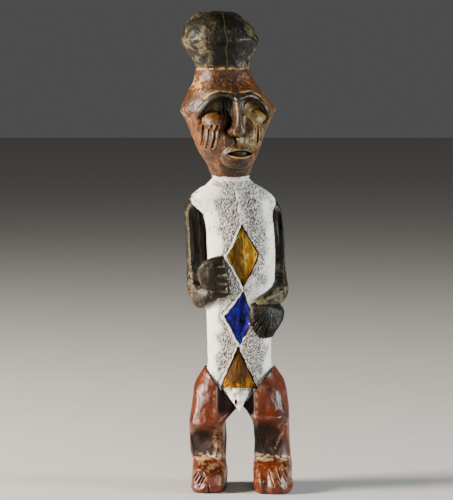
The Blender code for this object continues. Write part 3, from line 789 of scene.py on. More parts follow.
def head():
    shape = headShape
    grid = columnGrid(shape["stations"], rows=235, columns=380)
    grid = shaved(grid, cuts=110, depth=0.30, reach=17, seed=21)
    x, y, z = np.moveaxis(grid.copy(), -1, 0)
    flat = np.stack([x, y * 0, z], axis=-1)
    fine = noise(flat, 3.0, 27, 3)
    front = ramp(-4, -14, y)
    topOfBrow = graph(shape["browLine"])(x) + 0.35 * fine
    tilt = np.gradient(graph(shape["browLine"])(np.linspace(-45, 45, 181)), 0.5)
    steep = 1 / np.sqrt(1 + tilt[np.clip(((x + 45) * 2).astype(int), 0, 180)] ** 2)
    under = (topOfBrow - z) * steep  # distance below the brow's top edge

    # eye sockets: an undercut below the brow that comes forward again to the cheek,
    # and a trough beside the nose
    sideX = np.abs(x - 0.2)
    socket = 10.0 * ramp(4.0, 7.5, under) * (1 - ramp(12, 34, under)) * (1 - ramp(25, 37, sideX))
    trough = 12.0 * ramp(4.0, 7.5, under) * bump(sideX - 8.5, 6.0) * (1 - ramp(31, 44, under))
    trough = trough * (1 - 0.45 * ramp(0, 6, x))
    y = y + front * np.maximum(socket, trough)

    # swollen lids, pointed at both corners, with a nick in the upper edge
    lids = np.zeros_like(x)
    lidRim = np.zeros_like(x)
    for side, eyeX, eyeZ, wide, high in shape["eyes"]:
        across = (x - eyeX) / wide
        upDown = (z - eyeZ) / high
        power = 2.0 if side < 0 else 1.6
        almond = np.abs(across) ** power + np.abs(upDown) ** power
        swell = np.clip(1 - almond, 0, 1) ** 0.5
        lid = -27.0 - (10.0 if side < 0 else 6.0) * swell + 0.40 * (z - eyeZ) + 0.2 * np.abs(x - side * 12)
        nick = bump(x - eyeX - 4.2 * side * -1, 1.5) * (swell > 0)
        nick = nick * ramp(eyeZ + 0.35 * high, eyeZ + 0.8 * high, z)
        y = np.where((swell > 0) & (front > 0), np.minimum(y, lid), y) + 3.0 * nick * front
        lids = np.maximum(lids, ramp(1.1, 0.9, almond) * front)
        lidRim += bump(almond - 1.0, 0.10) * front
    # a low rim that circles the right eye
    circle = np.hypot((x - 21) / 15.5, (z - 352.5) / 13.5)
    y = y - 1.3 * bump(circle - 0.92, 0.09) * front * ramp(8, 12, x)

    # nose: a long narrow ridge that flares into an arrow at its tip, cut off flat underneath
    half = graph(shape["noseHalf"])(z)
    away = np.abs(x - graph(shape["noseMiddle"])(z)) / half
    nose = graph(shape["noseRidge"])(z) + 2.4 * away**2 + 22 * np.clip(away - 0.85, 0, 1)
    onNose = ramp(1.7, 1.2, away) * front * ramp(331.5, 333, z) * ramp(375, 371, z)
    y = np.where((away < 1.8) & (front > 0.2) & (z < 375) & (z > 331.2), np.minimum(y, nose), y)

    # brow band
    band = ramp(-0.6, 0.9, under) * (1 - ramp(4.4, 6.0, under)) * ramp(37, 33, np.abs(x))
    y = y - front * 2.0 * band * bump(under - 2.4, 3.6)
    lineAbove = bump(under + 0.9, 0.8) * ramp(36, 31, np.abs(x)) * front * (1 - bump(x - 0.3, 4.0))
    y = y + 0.5 * lineAbove

    # mouth: a muzzle, two lips and an almond slit
    mx, mz = shape["mouth"]
    muzzle = -25.5 - 16.5 * dish(x, z, (mx + 0.2, mz + 1.5), (19.0, 16.5), 0.9)
    y = y + (np.where((front > 0.3) & (muzzle < -26.6), np.minimum(y, muzzle), y) - y) * ramp(333, 329, z)
    opening = 2.6 * np.clip(1 - ((x - mx) / 11.4) ** 2, 0, 1)
    lipEdge = opening + 3.2 * np.clip(1 - ((x - mx) / 14.0) ** 2, 0, 1)
    slit = ramp(0.9, -0.5, np.abs(z - mz) - opening) * (np.abs(x - mx) < 11.8) * front
    lips = ramp(1.4, -0.9, np.abs(z - mz) - lipEdge) * (1 - slit) * (np.abs(x - mx) < 14) * front
    y = y - 1.2 * lips + 5.5 * slit

    # cheek cuts
    cuts = np.zeros_like(x)
    for start, end in shape["scars"]:
        gap = lineGap(x, z, start, end)[0]
        groove = ramp(1.25, 0.25, gap + 0.15 * fine) * front
        y = y + 2.2 * groove - 0.6 * bump(gap - 2.1, 0.7) * front
        cuts = np.maximum(cuts, groove)

    # drying crack in the forehead, and small nicks beside the right temple
    wander = -2.4 + 0.6 * noise(flat, 3.0, 23)
    crack = bump(x - wander, 0.45) * front * ramp(374, 378, z)
    y = y + 0.4 * crack
    nicks = np.zeros_like(x)
    for i in range(5):
        start, end = (-35.5 - 0.7 * i, 364 - 3.2 * i), (-38.5 - 0.5 * i, 361.5 - 3.2 * i)
        gap = lineGap(x, z, start, end)[0]
        nicks = np.maximum(nicks, ramp(0.9, 0.2, gap) * (y < 6))
    y = y + 0.8 * nicks

    grid = np.stack([x, y, z], axis=-1)
    grid = roughened(grid, size=7, depth=0.25, seed=24, octaves=3)
    blotch = noise(grid, 10, 25, 3)
    fleck = noise(grid, 3.2, 28, 3)
    temple = 1.3 * spot(x, z, (-37.5, 359.5), (7.5, 9.5)) * ramp(-0.7, 0.2, blotch + fleck)

    # soot on the brow band and along the nose, and painted shade in the troughs beside the nose
    brow = band * front * (1 - 0.5 * onNose)
    troughShade = 0.85 * np.clip(trough / 6, 0, 1) * ramp(46, 36, under) * (1 - 0.85 * lids) * (1 - onNose)
    brow += troughShade * front * (1 - 0.55 * ramp(2, 9, x)) * ramp(16, 10, x)
    brow += onNose * (0.34 + 0.40 * ramp(-0.5, 2.0, x)) + 0.75 * temple * (y < 12)

    # khaki round the right eye and the muzzle; round the right eye and on the right cheek it is partly a
    # painted highlight of the fill light
    khaki = 0.95 * spot(x, z, (20, 354), (17, 16)) + 0.55 * spot(x, z, (-17, 360), (17, 9))
    khaki += 1.0 * spot(x, z, (7, 326.5), (19, 8)) * ramp(-1.1, 0.0, fleck)
    khaki += 0.7 * spot(x, z, (24, 334), (13, 15)) * ramp(-0.6, 0.4, fleck)

    # dark stains of the forehead, chin, cheeks and the shaded side of the nose
    deep = 1.0 * spot(x, z, (-6, 384), (16, 13)) * ramp(-0.9, 0.3, blotch)
    deep += 1.1 * spot(x, z, (2, 304), (20, 13))
    deep += 0.6 * spot(x, z, (-24, 312), (6, 14)) * ramp(-0.4, 0.5, blotch)
    deep += 0.8 * spot(x, z, (-11, 327), (10, 10))
    deep += 0.75 * onNose * ramp(-0.6, -1.6, x + 0.4) * ramp(336, 342, z)
    deep += 0.5 * spot(x, z, (22, 318), (6, 12))
    stain = 0.55 * ramp(0.15, 0.75, blotch - 0.4 * fleck) * ramp(43, 36, np.abs(x))

    # worn places: line above the brow, lids, lower lip, crown, brow ends, temple; the spot on the left of the
    # forehead is a painted highlight of the key light
    pale = 1.0 * spot(x, z, (-28, 380), (6.5, 15)) * ramp(-0.6, 0.3, fleck)
    pale += 0.75 * lineAbove * ramp(-0.9, 0.1, fleck) + 0.30 * lidRim * ramp(-0.2, 0.5, blotch)
    pale += 0.75 * bump(mz - z - opening - 1.3, 0.9) * (z < mz) * ramp(12, 8, np.abs(x - mx)) * front
    pale += ramp(crownLevel - 3.5, crownLevel, z) * ramp(-0.9, 0.2, fleck)
    pale += 0.7 * bump(np.abs(x) - 44, 2.0) * bump(z - 357, 4) * ramp(-0.3, 0.5, fleck)
    pale += 0.55 * spot(x, z, (-42, 346), (6, 14)) * ramp(-0.6, 0.4, fleck)

    masks = {
        "brow": np.clip(brow, 0, 1),
        "khaki": np.clip(front * khaki + 0.5 * crack + 0.4 * ramp(0.1, 0.8, blotch) * (y > 0), 0, 1),
        "orange": np.clip(spots(x, z, shape["warmSpots"]), 0, 1) * ramp(-0.7, 0.5, fleck + blotch),
        # deep also darkens the cheek cuts and the nicks, and the inside of the mouth slit as painted shade
        "deep": np.clip(stain + front * deep + nicks + cuts + 1.6 * slit, 0, 1),
        "pale": np.clip(pale, 0, 1),
        "white": ramp(neckLevel + 2.2, neckLevel + 0.6, z + 1.2 * noise(grid, 5, 26)),
    }
    place(gridPiece("head_carved", grid, masks, blur=4, height=0.5), "head", brownWood())


panels = {
    "upper_lozenge": {"corners": [(0.6, 248.0), (14.0, 222.0), (0.3, 191.6), (-15.4, 219.5)], "back": -22.0},
    "middle_lozenge": {"corners": [(0.9, 186.6), (11.2, 162.5), (1.8, 137.6), (-14.4, 164.5)], "back": -24.0},
    "lower_lozenge": {"corners": [(0.2, 134.4), (17.2, 97.2), (0.5, 97.2), (-16.2, 97.2)], "back": -21.0},
}
trunkShape = {
    "column": [  # x, y, z, half width, half depth, squareness
        (0, 1, 66, 33.0, 26.0, 2.4), (0, 1, 104, 32.0, 27.5, 2.4), (0, 0.5, 112, 31.0, 28.0, 2.5),
        (0, 0, 120, 29.8, 28.5, 2.6), (0, -1.5, 145, 30.4, 29.5, 2.6),
        (0, -2.5, 170, 31.0, 30.0, 2.6), (1.8, -1.5, 200, 31.8, 29.5, 2.6),
        (3.0, 0, 225, 32.2, 29.0, 2.6), (3.2, 1.2, 246, 32.4, 28.0, 2.6),
        (2.6, 1.9, 255, 33.0, 27.2, 2.6), (1.8, 2.3, 260, 34.8, 26.4, 2.55),
        (0.6, 2.7, 265, 38.6, 25.0, 2.5), (0, 3, 269, 41.4, 23.8, 2.4),
        (0, 3, 272, 41.2, 23.0, 2.35), (0, 2.5, 276, 38.8, 22.5, 2.3), (0, 2, 282, 31.5, 21.0, 2.2),
        (0, 1.5, 287, 23.0, 19.0, 2.1), (0, 1, 291.6, 18.0, 17.6, 2.0), (0, 1, 293, 16.2, 16.0, 2.0),
    ],
    "strokes": 5200,
    "seatDepth": 6.0,
    "thinPaint": [  # strength, middle and radii of the places where wood shows through
        (1.1, (-6.0, 248), (13, 42)), (1.1, (10.0, 264), (11, 26)), (0.7, (16, 226), (8, 26)),
        (0.75, (-11, 150), (8, 26)), (0.7, (13, 140), (11, 24)), (0.5, (17, 118), (9, 18)),
        (0.5, (-14, 116), (9, 18)), (0.6, (30, 280), (14, 12)), (0.9, (-14, 199), (7, 17)),
    ],
}
trunkTable = np.array(trunkShape["column"], float)
trunkSlice = curveThrough(trunkTable[:, 2], trunkTable)


def trunkFront(x, z):  # y of the trunk's bare front at x and z
    row = trunkSlice(z)
    across = np.clip(np.abs((x - row[..., 0]) / row[..., 3]), 0, 1)
    return row[..., 1] - row[..., 4] * (1 - across ** row[..., 5]) ** (1 / row[..., 5])


def strokeField(x, z, count, low, high, wide, seed, tilt=0.5):
    # short tool strokes, drawn on a fine board over x and z and read back at the given places
    rng = np.random.default_rng(seed)
    step, margin, reach = 0.25, 20, 14
    board = np.zeros((int((high - low) / step) + 2 * margin, int(2 * wide / step) + 2 * margin))
    for _ in range(count):
        cx, cz = rng.uniform(-wide, wide), rng.uniform(low, high)
        long, thick, lean = rng.uniform(1.2, 2.8), rng.uniform(0.45, 0.8), rng.normal(0.25, tilt)
        deep = rng.uniform(0.4, 1.0)
        i, j = int((cz - low) / step) + margin, int((cx + wide) / step) + margin
        top, left = max(0, i - reach), max(0, j - reach)
        patch = board[top:i + reach, left:j + reach]
        gz, gx = np.mgrid[top:top + patch.shape[0], left:left + patch.shape[1]]
        dz, dx = (gz - i) * step, (gx - j) * step
        along = dz * math.cos(lean) + dx * math.sin(lean)
        across = dx * math.cos(lean) - dz * math.sin(lean)
        mark = deep * np.clip(1 - (along / long) ** 2 - (across / thick) ** 2, 0, 1)
        np.maximum(patch, mark, out=patch)
    row = np.clip((z - low) / step + margin, 0, board.shape[0] - 1.01)
    col = np.clip((x + wide) / step + margin, 0, board.shape[1] - 1.01)
    i, j = row.astype(int), col.astype(int)
    fz, fx = row - i, col - j
    return ((1 - fz) * (1 - fx) * board[i, j] + (1 - fz) * fx * board[i, j + 1]
            + fz * (1 - fx) * board[i + 1, j] + fz * fx * board[i + 1, j + 1])


def trunk():
    grid = loinGrid(trunkShape["column"], rows=250, columns=370, high=neckLevel)
    grid = shaved(grid, cuts=120, depth=0.25, reach=13, seed=31)
    x, y, z = np.moveaxis(grid.copy(), -1, 0)
    front = ramp(0, -12, y)
    behind = ramp(0, 12, y)
    # unrolled width, so that strokes keep their size on the flanks
    around = np.where(y < 0, x, np.sign(x) * (60 - np.abs(x)))
    keel = bump(x - 1.5, 2.6) * ramp(244, 256, z) * ramp(290, 276, z) * front
    flute = bump(x - 9.0, 5.5) * ramp(240, 262, z) * ramp(292, 276, z) * front
    y = y - 1.6 * keel + 1.6 * flute
    bare = spots(x, z, trunkShape["thinPaint"]) * front
    field = noise(grid, 9, 33, 3)
    thin = bare + 0.34 + 0.36 * field + 0.15 * behind - 0.30 * bump(x + 25, 8) - 0.22 * bump(x - 28, 5)
    thin = np.clip(thin, 0.10, 1)
    strokes = strokeField(around, z, trunkShape["strokes"], low=60, high=295, wide=62, seed=34)
    grid = np.stack([x, y, z], axis=-1)
    normal = gridNormals(softened(grid, 3))
    sunk = 0.90 * strokes * (0.25 + 0.75 * thin)

    # seats of the painted panels, with a raised lip along their lit edges
    cut = np.zeros_like(x)
    pale = np.zeros_like(x)
    seat = np.zeros_like(x)
    nibble = 0.55 * noise(np.stack([x, y * 0, z], axis=-1), 3.0, 36, 2)
    for panel in panels.values():
        inside = insideOutline(x, z, panel["corners"]) + nibble
        seat = np.maximum(seat, ramp(-0.7, 0.7, inside) * front)
        middle = np.mean(panel["corners"], axis=0)
        # the dark outline widens on the right and upper sides: painted shadow of the walls turned from the
        # key light
        dark = 1.6 * ramp(-2.0, 4.0, x - middle[0] + 0.3 * (z - middle[1]))
        cut = np.maximum(cut, ramp(-0.5 - dark, 0.1 - 0.5 * dark, inside) * front)
        # the lip on the left sides is painted pale: a painted highlight
        lip = bump(inside + 1.6, 0.75) * front * ramp(2.0, -3.0, x - middle[0])
        pale = np.maximum(pale, lip)
        thin = np.maximum(thin, 0.95 * bump(inside + 4.0, 1.8) * front * ramp(3.0, -2.0, x - middle[0]))
    # the floor under the lowest panel and the loin point
    gap = insideOutline(x, z, [(-16.0, 98), (14.0, 98), (14.0, 60), (-16.0, 60)])
    seat = np.maximum(seat, ramp(-0.5, 0.9, gap) * front)
    grid = grid + normal * (0.55 * pale - sunk * (1 - seat))[..., None]
    grid[..., 1] += trunkShape["seatDepth"] * seat
    grid = roughened(grid, size=2.6, depth=0.10, seed=35, octaves=2)
    ragged = noise(grid, 4, 37, 3)
    # the arms' black runs onto the sides of the shoulders
    capGap = np.hypot((y - 5.5) / 13.8, (z - 255.0) / (19.0 + 0.5 * (np.abs(x) - 33))) + 0.04 * ragged
    patina = ramp(1.12, 0.92, capGap) * ramp(29, 32, np.abs(x))
    masks = {"thin": thin, "cut": cut, "pale": pale, "patina": patina}
    piece = gridPiece("trunk_carved", grid, masks, blur=3, height=0.20)
    place(piece, "torso", whiteKaolin())


def upperPanelFront(x, z):  # two leaves that meet in a fold a little right of the middle
    bed = 1.8 + 0.02 * (z - 219)
    inside = insideOutline(x, z, panels["upper_lozenge"]["corners"])
    wall = 1.2 + 2.4 * ramp(-0.2, 1.8, inside)
    fold = 1.8 * ramp(9, 0.5, np.abs(x - bed)) * np.where(x < bed, 0.35, 1.0)
    flatXz = np.stack([x * 1.6, z * 0, z * 0.5], axis=-1)
    scallops = 0.45 * noise(flatXz, 3.6, 41, 2)
    return trunkFront(x, z) + wall + fold + scallops


def middlePanelFront(x, z):  # flat cuts that fall to the navel
    inside = insideOutline(x, z, panels["middle_lozenge"]["corners"])
    cuts = [
        (0.22, 0.06, 0.4), (-0.26, 0.04, 1.4), (0.03, 0.20, -1.2), (0.08, -0.20, 0.0), (-0.18, -0.14, 0.9),
    ]
    depth = np.full(np.shape(x), 9.0)
    for slopeX, slopeZ, start in cuts:
        depth = np.minimum(depth, 3.4 + start + slopeX * (x + 1) * 1.4 + slopeZ * (z - 162))
    depth = np.clip(depth, 0.8, 5.0) * ramp(-0.6, 2.2, inside)
    snake = bump(x - 1.0 - 3.2 * np.sin((z - 150) * 0.16), 2.6) * ramp(0, 5, inside)
    navel = ramp(2.9, 1.5, np.hypot(x - 2.4, (z - 161.6) * 0.85))
    ripple = 0.40 * noise(np.stack([x, z * 0, z * 0.7], axis=-1), 3.0, 43, 2)
    return trunkFront(x, z) + 0.7 + depth * 0.7 + 1.6 * snake + 3.0 * navel + ripple


def lowerPanelFront(x, z):  # three facets that swell towards the foot of the panel
    inside = insideOutline(x, z, panels["lower_lozenge"]["corners"])
    growth = ramp(136, 100, z)
    flank = np.clip((np.abs(x - 0.4) - 4.2 * growth) / (1.0 + 12.0 * growth), 0, 1)
    rise = growth * (5.6 * (1 - flank) ** 0.9) * ramp(-0.3, 2.0, inside + 1.0 * growth)
    fibres = 0.45 * noise(np.stack([x * 1.8, z * 0, z * 0.5], axis=-1), 2.8, 44, 3)
    foot = 1.2 * ramp(100.5, 97.5, z + 0.8 * np.sin(x * 0.9))
    return trunkFront(x, z) + 1.6 - rise + fibres + foot


def panelMasks(outline, duskAt, flecks=(), openBelow=0.0):
    def at(x, z):
        flat = np.stack([x, z * 0, z], axis=-1)
        rim = ramp(0.7, 0.0, insideOutline(x, z, outline)) * ramp(openBelow, openBelow + 1.5, z)
        dots = np.zeros_like(x)
        for middle, radius in flecks:
            wobble = 0.5 * noise(flat, 1.2, 45)
            away = np.hypot(x - middle[0], z - middle[1]) + wobble
            dots = np.maximum(dots, ramp(radius, radius - 0.5, away))
        # the panel's darkening, painted shade on the upper and lower panels, plus random mottle
        paintedShadeAndMottle = np.clip(duskAt(x, z) + 0.35 * noise(flat, 5, 46, 3), 0, 1)
        return {"cut": rim, "fleck": dots, "paintedShadeAndMottle": paintedShadeAndMottle}
    return at


# painted shade on the left leaf, which faces away from the key light
def upperPaintedShade(x, z):
    return 0.82 * ramp(2.5, -0.5, x) * ramp(-17, -9, x)


def middleDusk(x, z):
    return 0.35 + 0 * x


# painted shade over the lowest panel, deepest down its middle, which faces the camera and not the side lights
def lowerPaintedShade(x, z):
    paintedShadeAndMottle = 0.40 * ramp(98, 101, z) + 0.60 * ramp(8.0, 4.5, np.abs(x + 0.5)) * ramp(99, 105, z)
    return paintedShadeAndMottle + 0.45 * ramp(101, 108, z) * ramp(-13, -8, x + 0.45 * (z - 105))


def paintedPanels():
    ochre, darkerOchre = paintedPanel("ochreEarthPaint"), paintedPanel("darkerOchreEarthPaint")
    blue = paintedPanel("deepBluePaint")
    # the dusk column darkens each panel: painted shade on the upper and lower panels, an even darkening of
    # the blue one
    makers = {  # front, paint, slot, dusk, white flecks, height below which the outline isn't cut
        "upper_lozenge": (upperPanelFront, ochre, "ochre_paint", upperPaintedShade, [((4.0, 221.0), 0.8)], 0.0),
        "middle_lozenge": (middlePanelFront, blue, "blue_paint", middleDusk, [((10.0, 157.5), 1.7)], 0.0),
        "lower_lozenge": (lowerPanelFront, darkerOchre, "ochre_paint", lowerPaintedShade, [], 97.6),
    }
    for name, (front, finish, slot, duskAt, flecks, openBelow) in makers.items():
        panel = panels[name]
        masksAt = panelMasks(panel["corners"], duskAt, flecks, openBelow)
        piece = tilePiece(f"{name}_carved", panel["corners"], front, panel["back"], 110, masksAt)
        place(piece, name, finish)


loinPoint = {
    "corners": [(-15.2, 97.4), (13.3, 97.4), (1.8, 75.4), (-6.7, 86.4)],
    "back": -18.0,
    "eye": (-1.6, 84.6),
    "dimple": (-2.4, 91.5),
}


def loinEyeGap(x, z):  # distance from the eye, which is twice as high as it is wide
    return np.hypot((x - loinPoint["eye"][0]) * 1.25, (z - loinPoint["eye"][1]) * 0.62)


def loinPointFront(x, z):  # two faces that meet in a ridge, with a small eye and a dimple
    drop = (97.4 - z) / 22.0
    ridge = -31.6 - 4.6 * ramp(0.0, 0.85, drop)
    half = 13.5 * (1 - drop) + 2.0
    y = ridge + 6.5 * np.clip(np.abs(x - 1.2 - 0.6 * drop) / half, 0, 1.2)
    eye = ramp(1.5, 0.8, loinEyeGap(x, z))
    dimple = ramp(1.6, 0.6, np.hypot(x - loinPoint["dimple"][0], z - loinPoint["dimple"][1]))
    rough = 0.28 * noise(np.stack([x, z * 0, z], axis=-1), 3.2, 51, 3)
    return y + 2.2 * eye + 0.9 * dimple + rough


def loinPointMasks(x, z):
    eye = ramp(2.3, 1.5, loinEyeGap(x, z))
    field = noise(np.stack([x, z * 0, z], axis=-1), 4, 52, 2)
    thin = np.clip(0.35 + 0.5 * field + 0.5 * ramp(94, 97.4, z), 0.05, 1)
    return {"cut": eye, "thin": thin}


def loinPointPiece():
    corners, back = loinPoint["corners"], loinPoint["back"]
    piece = tilePiece("loin_point_carved", corners, loinPointFront, back, 90, loinPointMasks)
    place(piece, "loin_point", whiteKaolin())


armShape = {  # x, y, z, half thickness, half height, squareness along each member
    "upper": [
        (29.0, 5.0, 273.4, 2.6, 2.6, 2.0), (33.0, 5.0, 270.8, 6.0, 7.4, 2.0),
        (36.0, 5.0, 266.0, 8.4, 11.0, 2.1), (37.4, 5.3, 258, 9.5, 13.2, 2.3),
        (37.6, 5.5, 248, 9.4, 13.5, 2.5), (38.0, 5.0, 225, 9.0, 13.0, 2.5),
    ],
    "right": [
        (38.6, 4.0, 208, 9.2, 13.0, 2.4), (39.0, 1.5, 196, 9.6, 13.2, 2.3),
        (38.4, -5.0, 187, 9.8, 13.2, 2.2), (36.0, -12.5, 184, 9.6, 13.2, 2.2),
        (31.5, -19.0, 185.5, 8.6, 12.2, 2.2), (26.5, -23.5, 188.5, 7.2, 10.6, 2.2),
        (21.0, -27.0, 191, 5.0, 7.6, 2.2),
    ],
    "left": [
        (38.2, 4.0, 204, 8.9, 13.0, 2.5), (38.2, -3.0, 190.5, 8.9, 12.5, 2.3),
        (34.8, -14.5, 185, 8.4, 10.8, 2.2), (27.5, -23.0, 181.8, 7.4, 8.0, 2.1),
        (20.0, -28.5, 179.4, 6.0, 5.6, 2.0), (13.5, -31.6, 177, 4.0, 3.2, 2.0),
    ],
    "rightHand": [  # as it stands, not mirrored like the right arm's rows
        (-36.0, -19.0, 194, 4.0, 13.0, 2.4), (-32.5, -22.5, 196.0, 6.8, 17.6, 2.6),
        (-27.0, -27.0, 199.5, 7.8, 20.0, 2.9), (-21.0, -30.2, 202.3, 7.4, 20.0, 2.9),
        (-17.0, -31.4, 203.5, 6.2, 19.0, 2.9), (-15.6, -31.6, 203.8, 3.6, 17.2, 2.8),
    ],
    "clefts": [
        ((-31.0, 211.0), (-14.0, 212.8)), ((-31.0, 203.2), (-14.0, 204.2)),
        ((-30.0, 195.4), (-14.0, 195.8)), ((-28.0, 188.4), (-14.0, 188.2)),
    ],
    "leftHand": [
        (28.8, -20.5, 144.2, 2.5, 3.5, 2.2), (28.0, -21.3, 147.0, 6.0, 9.2, 2.3),
        (26.6, -21.8, 152, 8.4, 14.2, 2.3), (25.6, -22.2, 158, 9.6, 17.0, 2.3),
        (24.6, -22.8, 166, 10.0, 18.4, 2.3), (24.2, -22.8, 172.5, 8.8, 17.6, 2.3),
        (24.6, -22.6, 177.0, 6.0, 14.0, 2.3),
    ],
    "creases": [((19.5, 166), (12.5, 156.5)), ((22.5, 163), (16.5, 151.5)), ((27.0, 160), (24.5, 147.0))],
    "palm": (0.46, -0.89, 0.0),
}


def mirrored(stations):
    return [(-x, y, z, *rest) for x, y, z, *rest in stations]


def arms():
    for side, sign in (("right", -1), ("left", 1)):
        rows = [*armShape["upper"], *armShape[side]]
        grid = sweepGrid(mirrored(rows) if sign < 0 else rows, rows=260, columns=170, outward=(sign, 0, 0))
        grid = shaved(grid, cuts=70, depth=0.40, reach=14, seed=61 if sign < 0 else 62)
        x, y, z = np.moveaxis(grid.copy(), -1, 0)
        outX = x * sign
        # the front of the upper arm falls back towards the chest, and leaves a rim along the outside
        fall = ramp(46.8, 41.0, outX) * ramp(-1.0, -6.0, y) * ramp(204, 222, z) * ramp(268, 252, z)
        y = y + 6.5 * fall
        if side == "left":
            # crisp edge where the forearm's top meets its front
            crest = bump(z - 176.5 - 0.45 * (outX - 14), 1.6) * ramp(-8, -16, y)
            y = y - 0.9 * crest
        grid = np.stack([x, y, z], axis=-1)
        grid = roughened(grid, size=8, depth=0.30, seed=63, octaves=3)
        blotch = noise(grid, 9, 64, 3)
        fine = noise(grid, 3, 66, 3)
        # painted highlights: the outer rim, the elbow and, on the left arm, the forearm's crest, where the
        # lights catch them; the blotches are wear
        rim = bump(outX - 46.8, 1.5) * ramp(6, -6, y) * ramp(-0.7, 0.3, fine)
        elbow = dish(y, z, (-12, 190), (16, 22), 0.6) * ramp(30, 34, outX) * ramp(-0.4, 0.6, fine)
        wearAndHighlight = 0.95 * rim + (0.38 if side == "right" else 0.20) * elbow + 0.18 * ramp(0.2, 0.8, blotch)
        if side == "left":
            wearAndHighlight = wearAndHighlight + 1.0 * crest * ramp(-0.9, 0.1, fine)
        shade = 1.3 * fall + ramp(46.0, 42.0, outX) * ramp(2, -4, y) * ramp(240, 262, z)
        masks = {
            "wearAndHighlight": np.clip(wearAndHighlight, 0, 1),
            "khaki": 0.40 * ramp(0.15, 0.7, blotch + fine) * ramp(204, 184, z),
            "shade": np.clip(shade, 0, 1),
        }
        name = f"{side}_arm"
        finish = blackPatina(f"{side}ArmPatina", 0.35, 0.80 if sign < 0 else 0.35)
        place(gridPiece(f"{name}_carved", grid, masks, height=0.6), name, finish)


def rightHand():
    grid = sweepGrid(armShape["rightHand"], rows=190, columns=240, outward=(0, -1, 0))
    grid = shaved(grid, cuts=50, depth=0.30, reach=12, seed=71)
    x, y, z = np.moveaxis(grid.copy(), -1, 0)
    front = ramp(-24, -29, y)
    depth = np.zeros_like(x)
    for start, end in armShape["clefts"]:
        gap, along = lineGap(x, z, start, end)
        width = 0.20 + 1.25 * along
        depth = np.maximum(depth, ramp(width + 0.3, width - 0.4, gap) * ramp(0.05, 0.5, along))
    y = y + 3.0 * depth * front
    grid = roughened(np.stack([x, y, z], axis=-1), size=6, depth=0.22, seed=72, octaves=3)
    fine = noise(grid, 3, 74, 3)
    tips = bump(x + 16.2, 1.0) * ramp(0.0, 0.6, fine)
    # rubbed blotches, and a painted highlight on the outer end that faces the key light
    wearAndHighlight = 0.12 * ramp(0.1, 0.6, noise(grid, 7, 73, 3)) + 0.35 * ramp(-30, -36, x) * ramp(-0.3, 0.5, fine)
    masks = {
        "wearAndHighlight": np.clip(wearAndHighlight, 0, 1),
        "khaki": depth * front * 0.9,
        "white": 0.6 * tips,
        "shade": 0.85 * ramp(-37, -31, x) * (1 - depth),
    }
    piece = gridPiece("right_hand_carved", grid, masks, height=0.6)
    place(piece, "right_hand", blackPatina("rightHandPatina", 0.25, 0.12))


def leftHand():
    grid = sweepGrid(armShape["leftHand"], rows=170, columns=220, outward=armShape["palm"])
    grid = shaved(grid, cuts=70, depth=0.35, reach=12, seed=76)
    x, y, z = np.moveaxis(grid.copy(), -1, 0)
    front = ramp(-16, -22, y)
    angle = np.arctan2(z - 182, x - 27)
    rays = np.abs(np.sin(angle * 24 + 1.5 * noise(grid, 8, 77)))
    lines = ramp(0.30, 0.0, rays) * front * ramp(174, 168, z)
    y = y + 0.35 * lines
    for start, end in armShape["creases"]:
        gap, along = lineGap(x, z, start, end)
        y = y + 1.8 * ramp(1.1, 0.2, gap) * ramp(0, 0.7, along) * front
    grid = roughened(np.stack([x, y, z], axis=-1), size=6, depth=0.25, seed=78, octaves=3)
    masks = {
        "wearAndHighlight": 0.12 * ramp(0.2, 0.6, noise(grid, 7, 79, 3)),
        "khaki": 0.25 * lines,
        "shade": 0.6 * ramp(172, 164, z),
    }
    piece = gridPiece("left_hand_carved", grid, masks, height=0.6)
    place(piece, "left_hand", blackPatina("leftHandPatina", 0.2, 0.55))


legShape = {  # inner and outer edge, front and back, height, squareness
    "right": [
        (12.8, 46.6, -20.0, 20.0, 29.0, 2.6), (12.8, 47.4, -20.0, 21.5, 38, 2.6),
        (12.4, 47.6, -24.5, 22.0, 48, 2.7), (11.8, 47.2, -33.5, 19.0, 58, 2.8),
        (10.6, 46.9, -38.5, 19.0, 64, 2.9), (6.0, 46.4, -36.5, 25.0, 71, 2.9),
        (0.6, 45.6, -34.0, 30.0, 77, 2.9), (-2.0, 44.2, -31.5, 33.0, 88, 2.7),
        (-2.0, 42.3, -29.5, 33.0, 99, 2.6), (-1.0, 37.2, -28.5, 31.0, 108, 2.5),
        (-0.5, 33.6, -28.0, 30.0, 113.5, 2.5), (0.0, 30.0, -27.5, 29.0, 118, 2.5),
    ],
    "left": [
        (12.6, 48.0, -20.0, 20.0, 29.0, 2.6), (12.3, 47.2, -20.0, 21.5, 40, 2.6),
        (11.8, 47.0, -24.5, 22.0, 52, 2.7), (10.8, 47.0, -33.5, 19.0, 64, 2.8),
        (8.6, 47.0, -38.5, 19.0, 70, 2.9), (4.6, 46.8, -36.5, 25.0, 74.5, 2.9),
        (0.6, 46.4, -34.0, 30.0, 79, 2.9), (-2.0, 45.0, -31.5, 33.0, 90, 2.7),
        (-2.0, 42.0, -29.5, 33.0, 101, 2.6), (-1.0, 37.0, -28.5, 31.0, 109.5, 2.5),
        (-0.5, 33.4, -28.0, 30.0, 114.5, 2.5), (0.0, 30.4, -27.5, 29.0, 118, 2.5),
    ],
    "kneeEdge": {"right": 60.5, "left": 67.5},
    "hollow": {"right": (34.0, 8.5), "left": (26.5, 8.5)},  # middle and half width of the shin's hollow
    "hollowDepth": 4.5,
    "pelvis": {"right": 19.0, "left": 14.5},  # outer edge of the loins beside the point
    "pelvisDepth": 5.0,
    "khakiEdge": {"right": (23.5, 0.0), "left": (39.0, 0.45)},  # place and slope of the worn shin edge
}
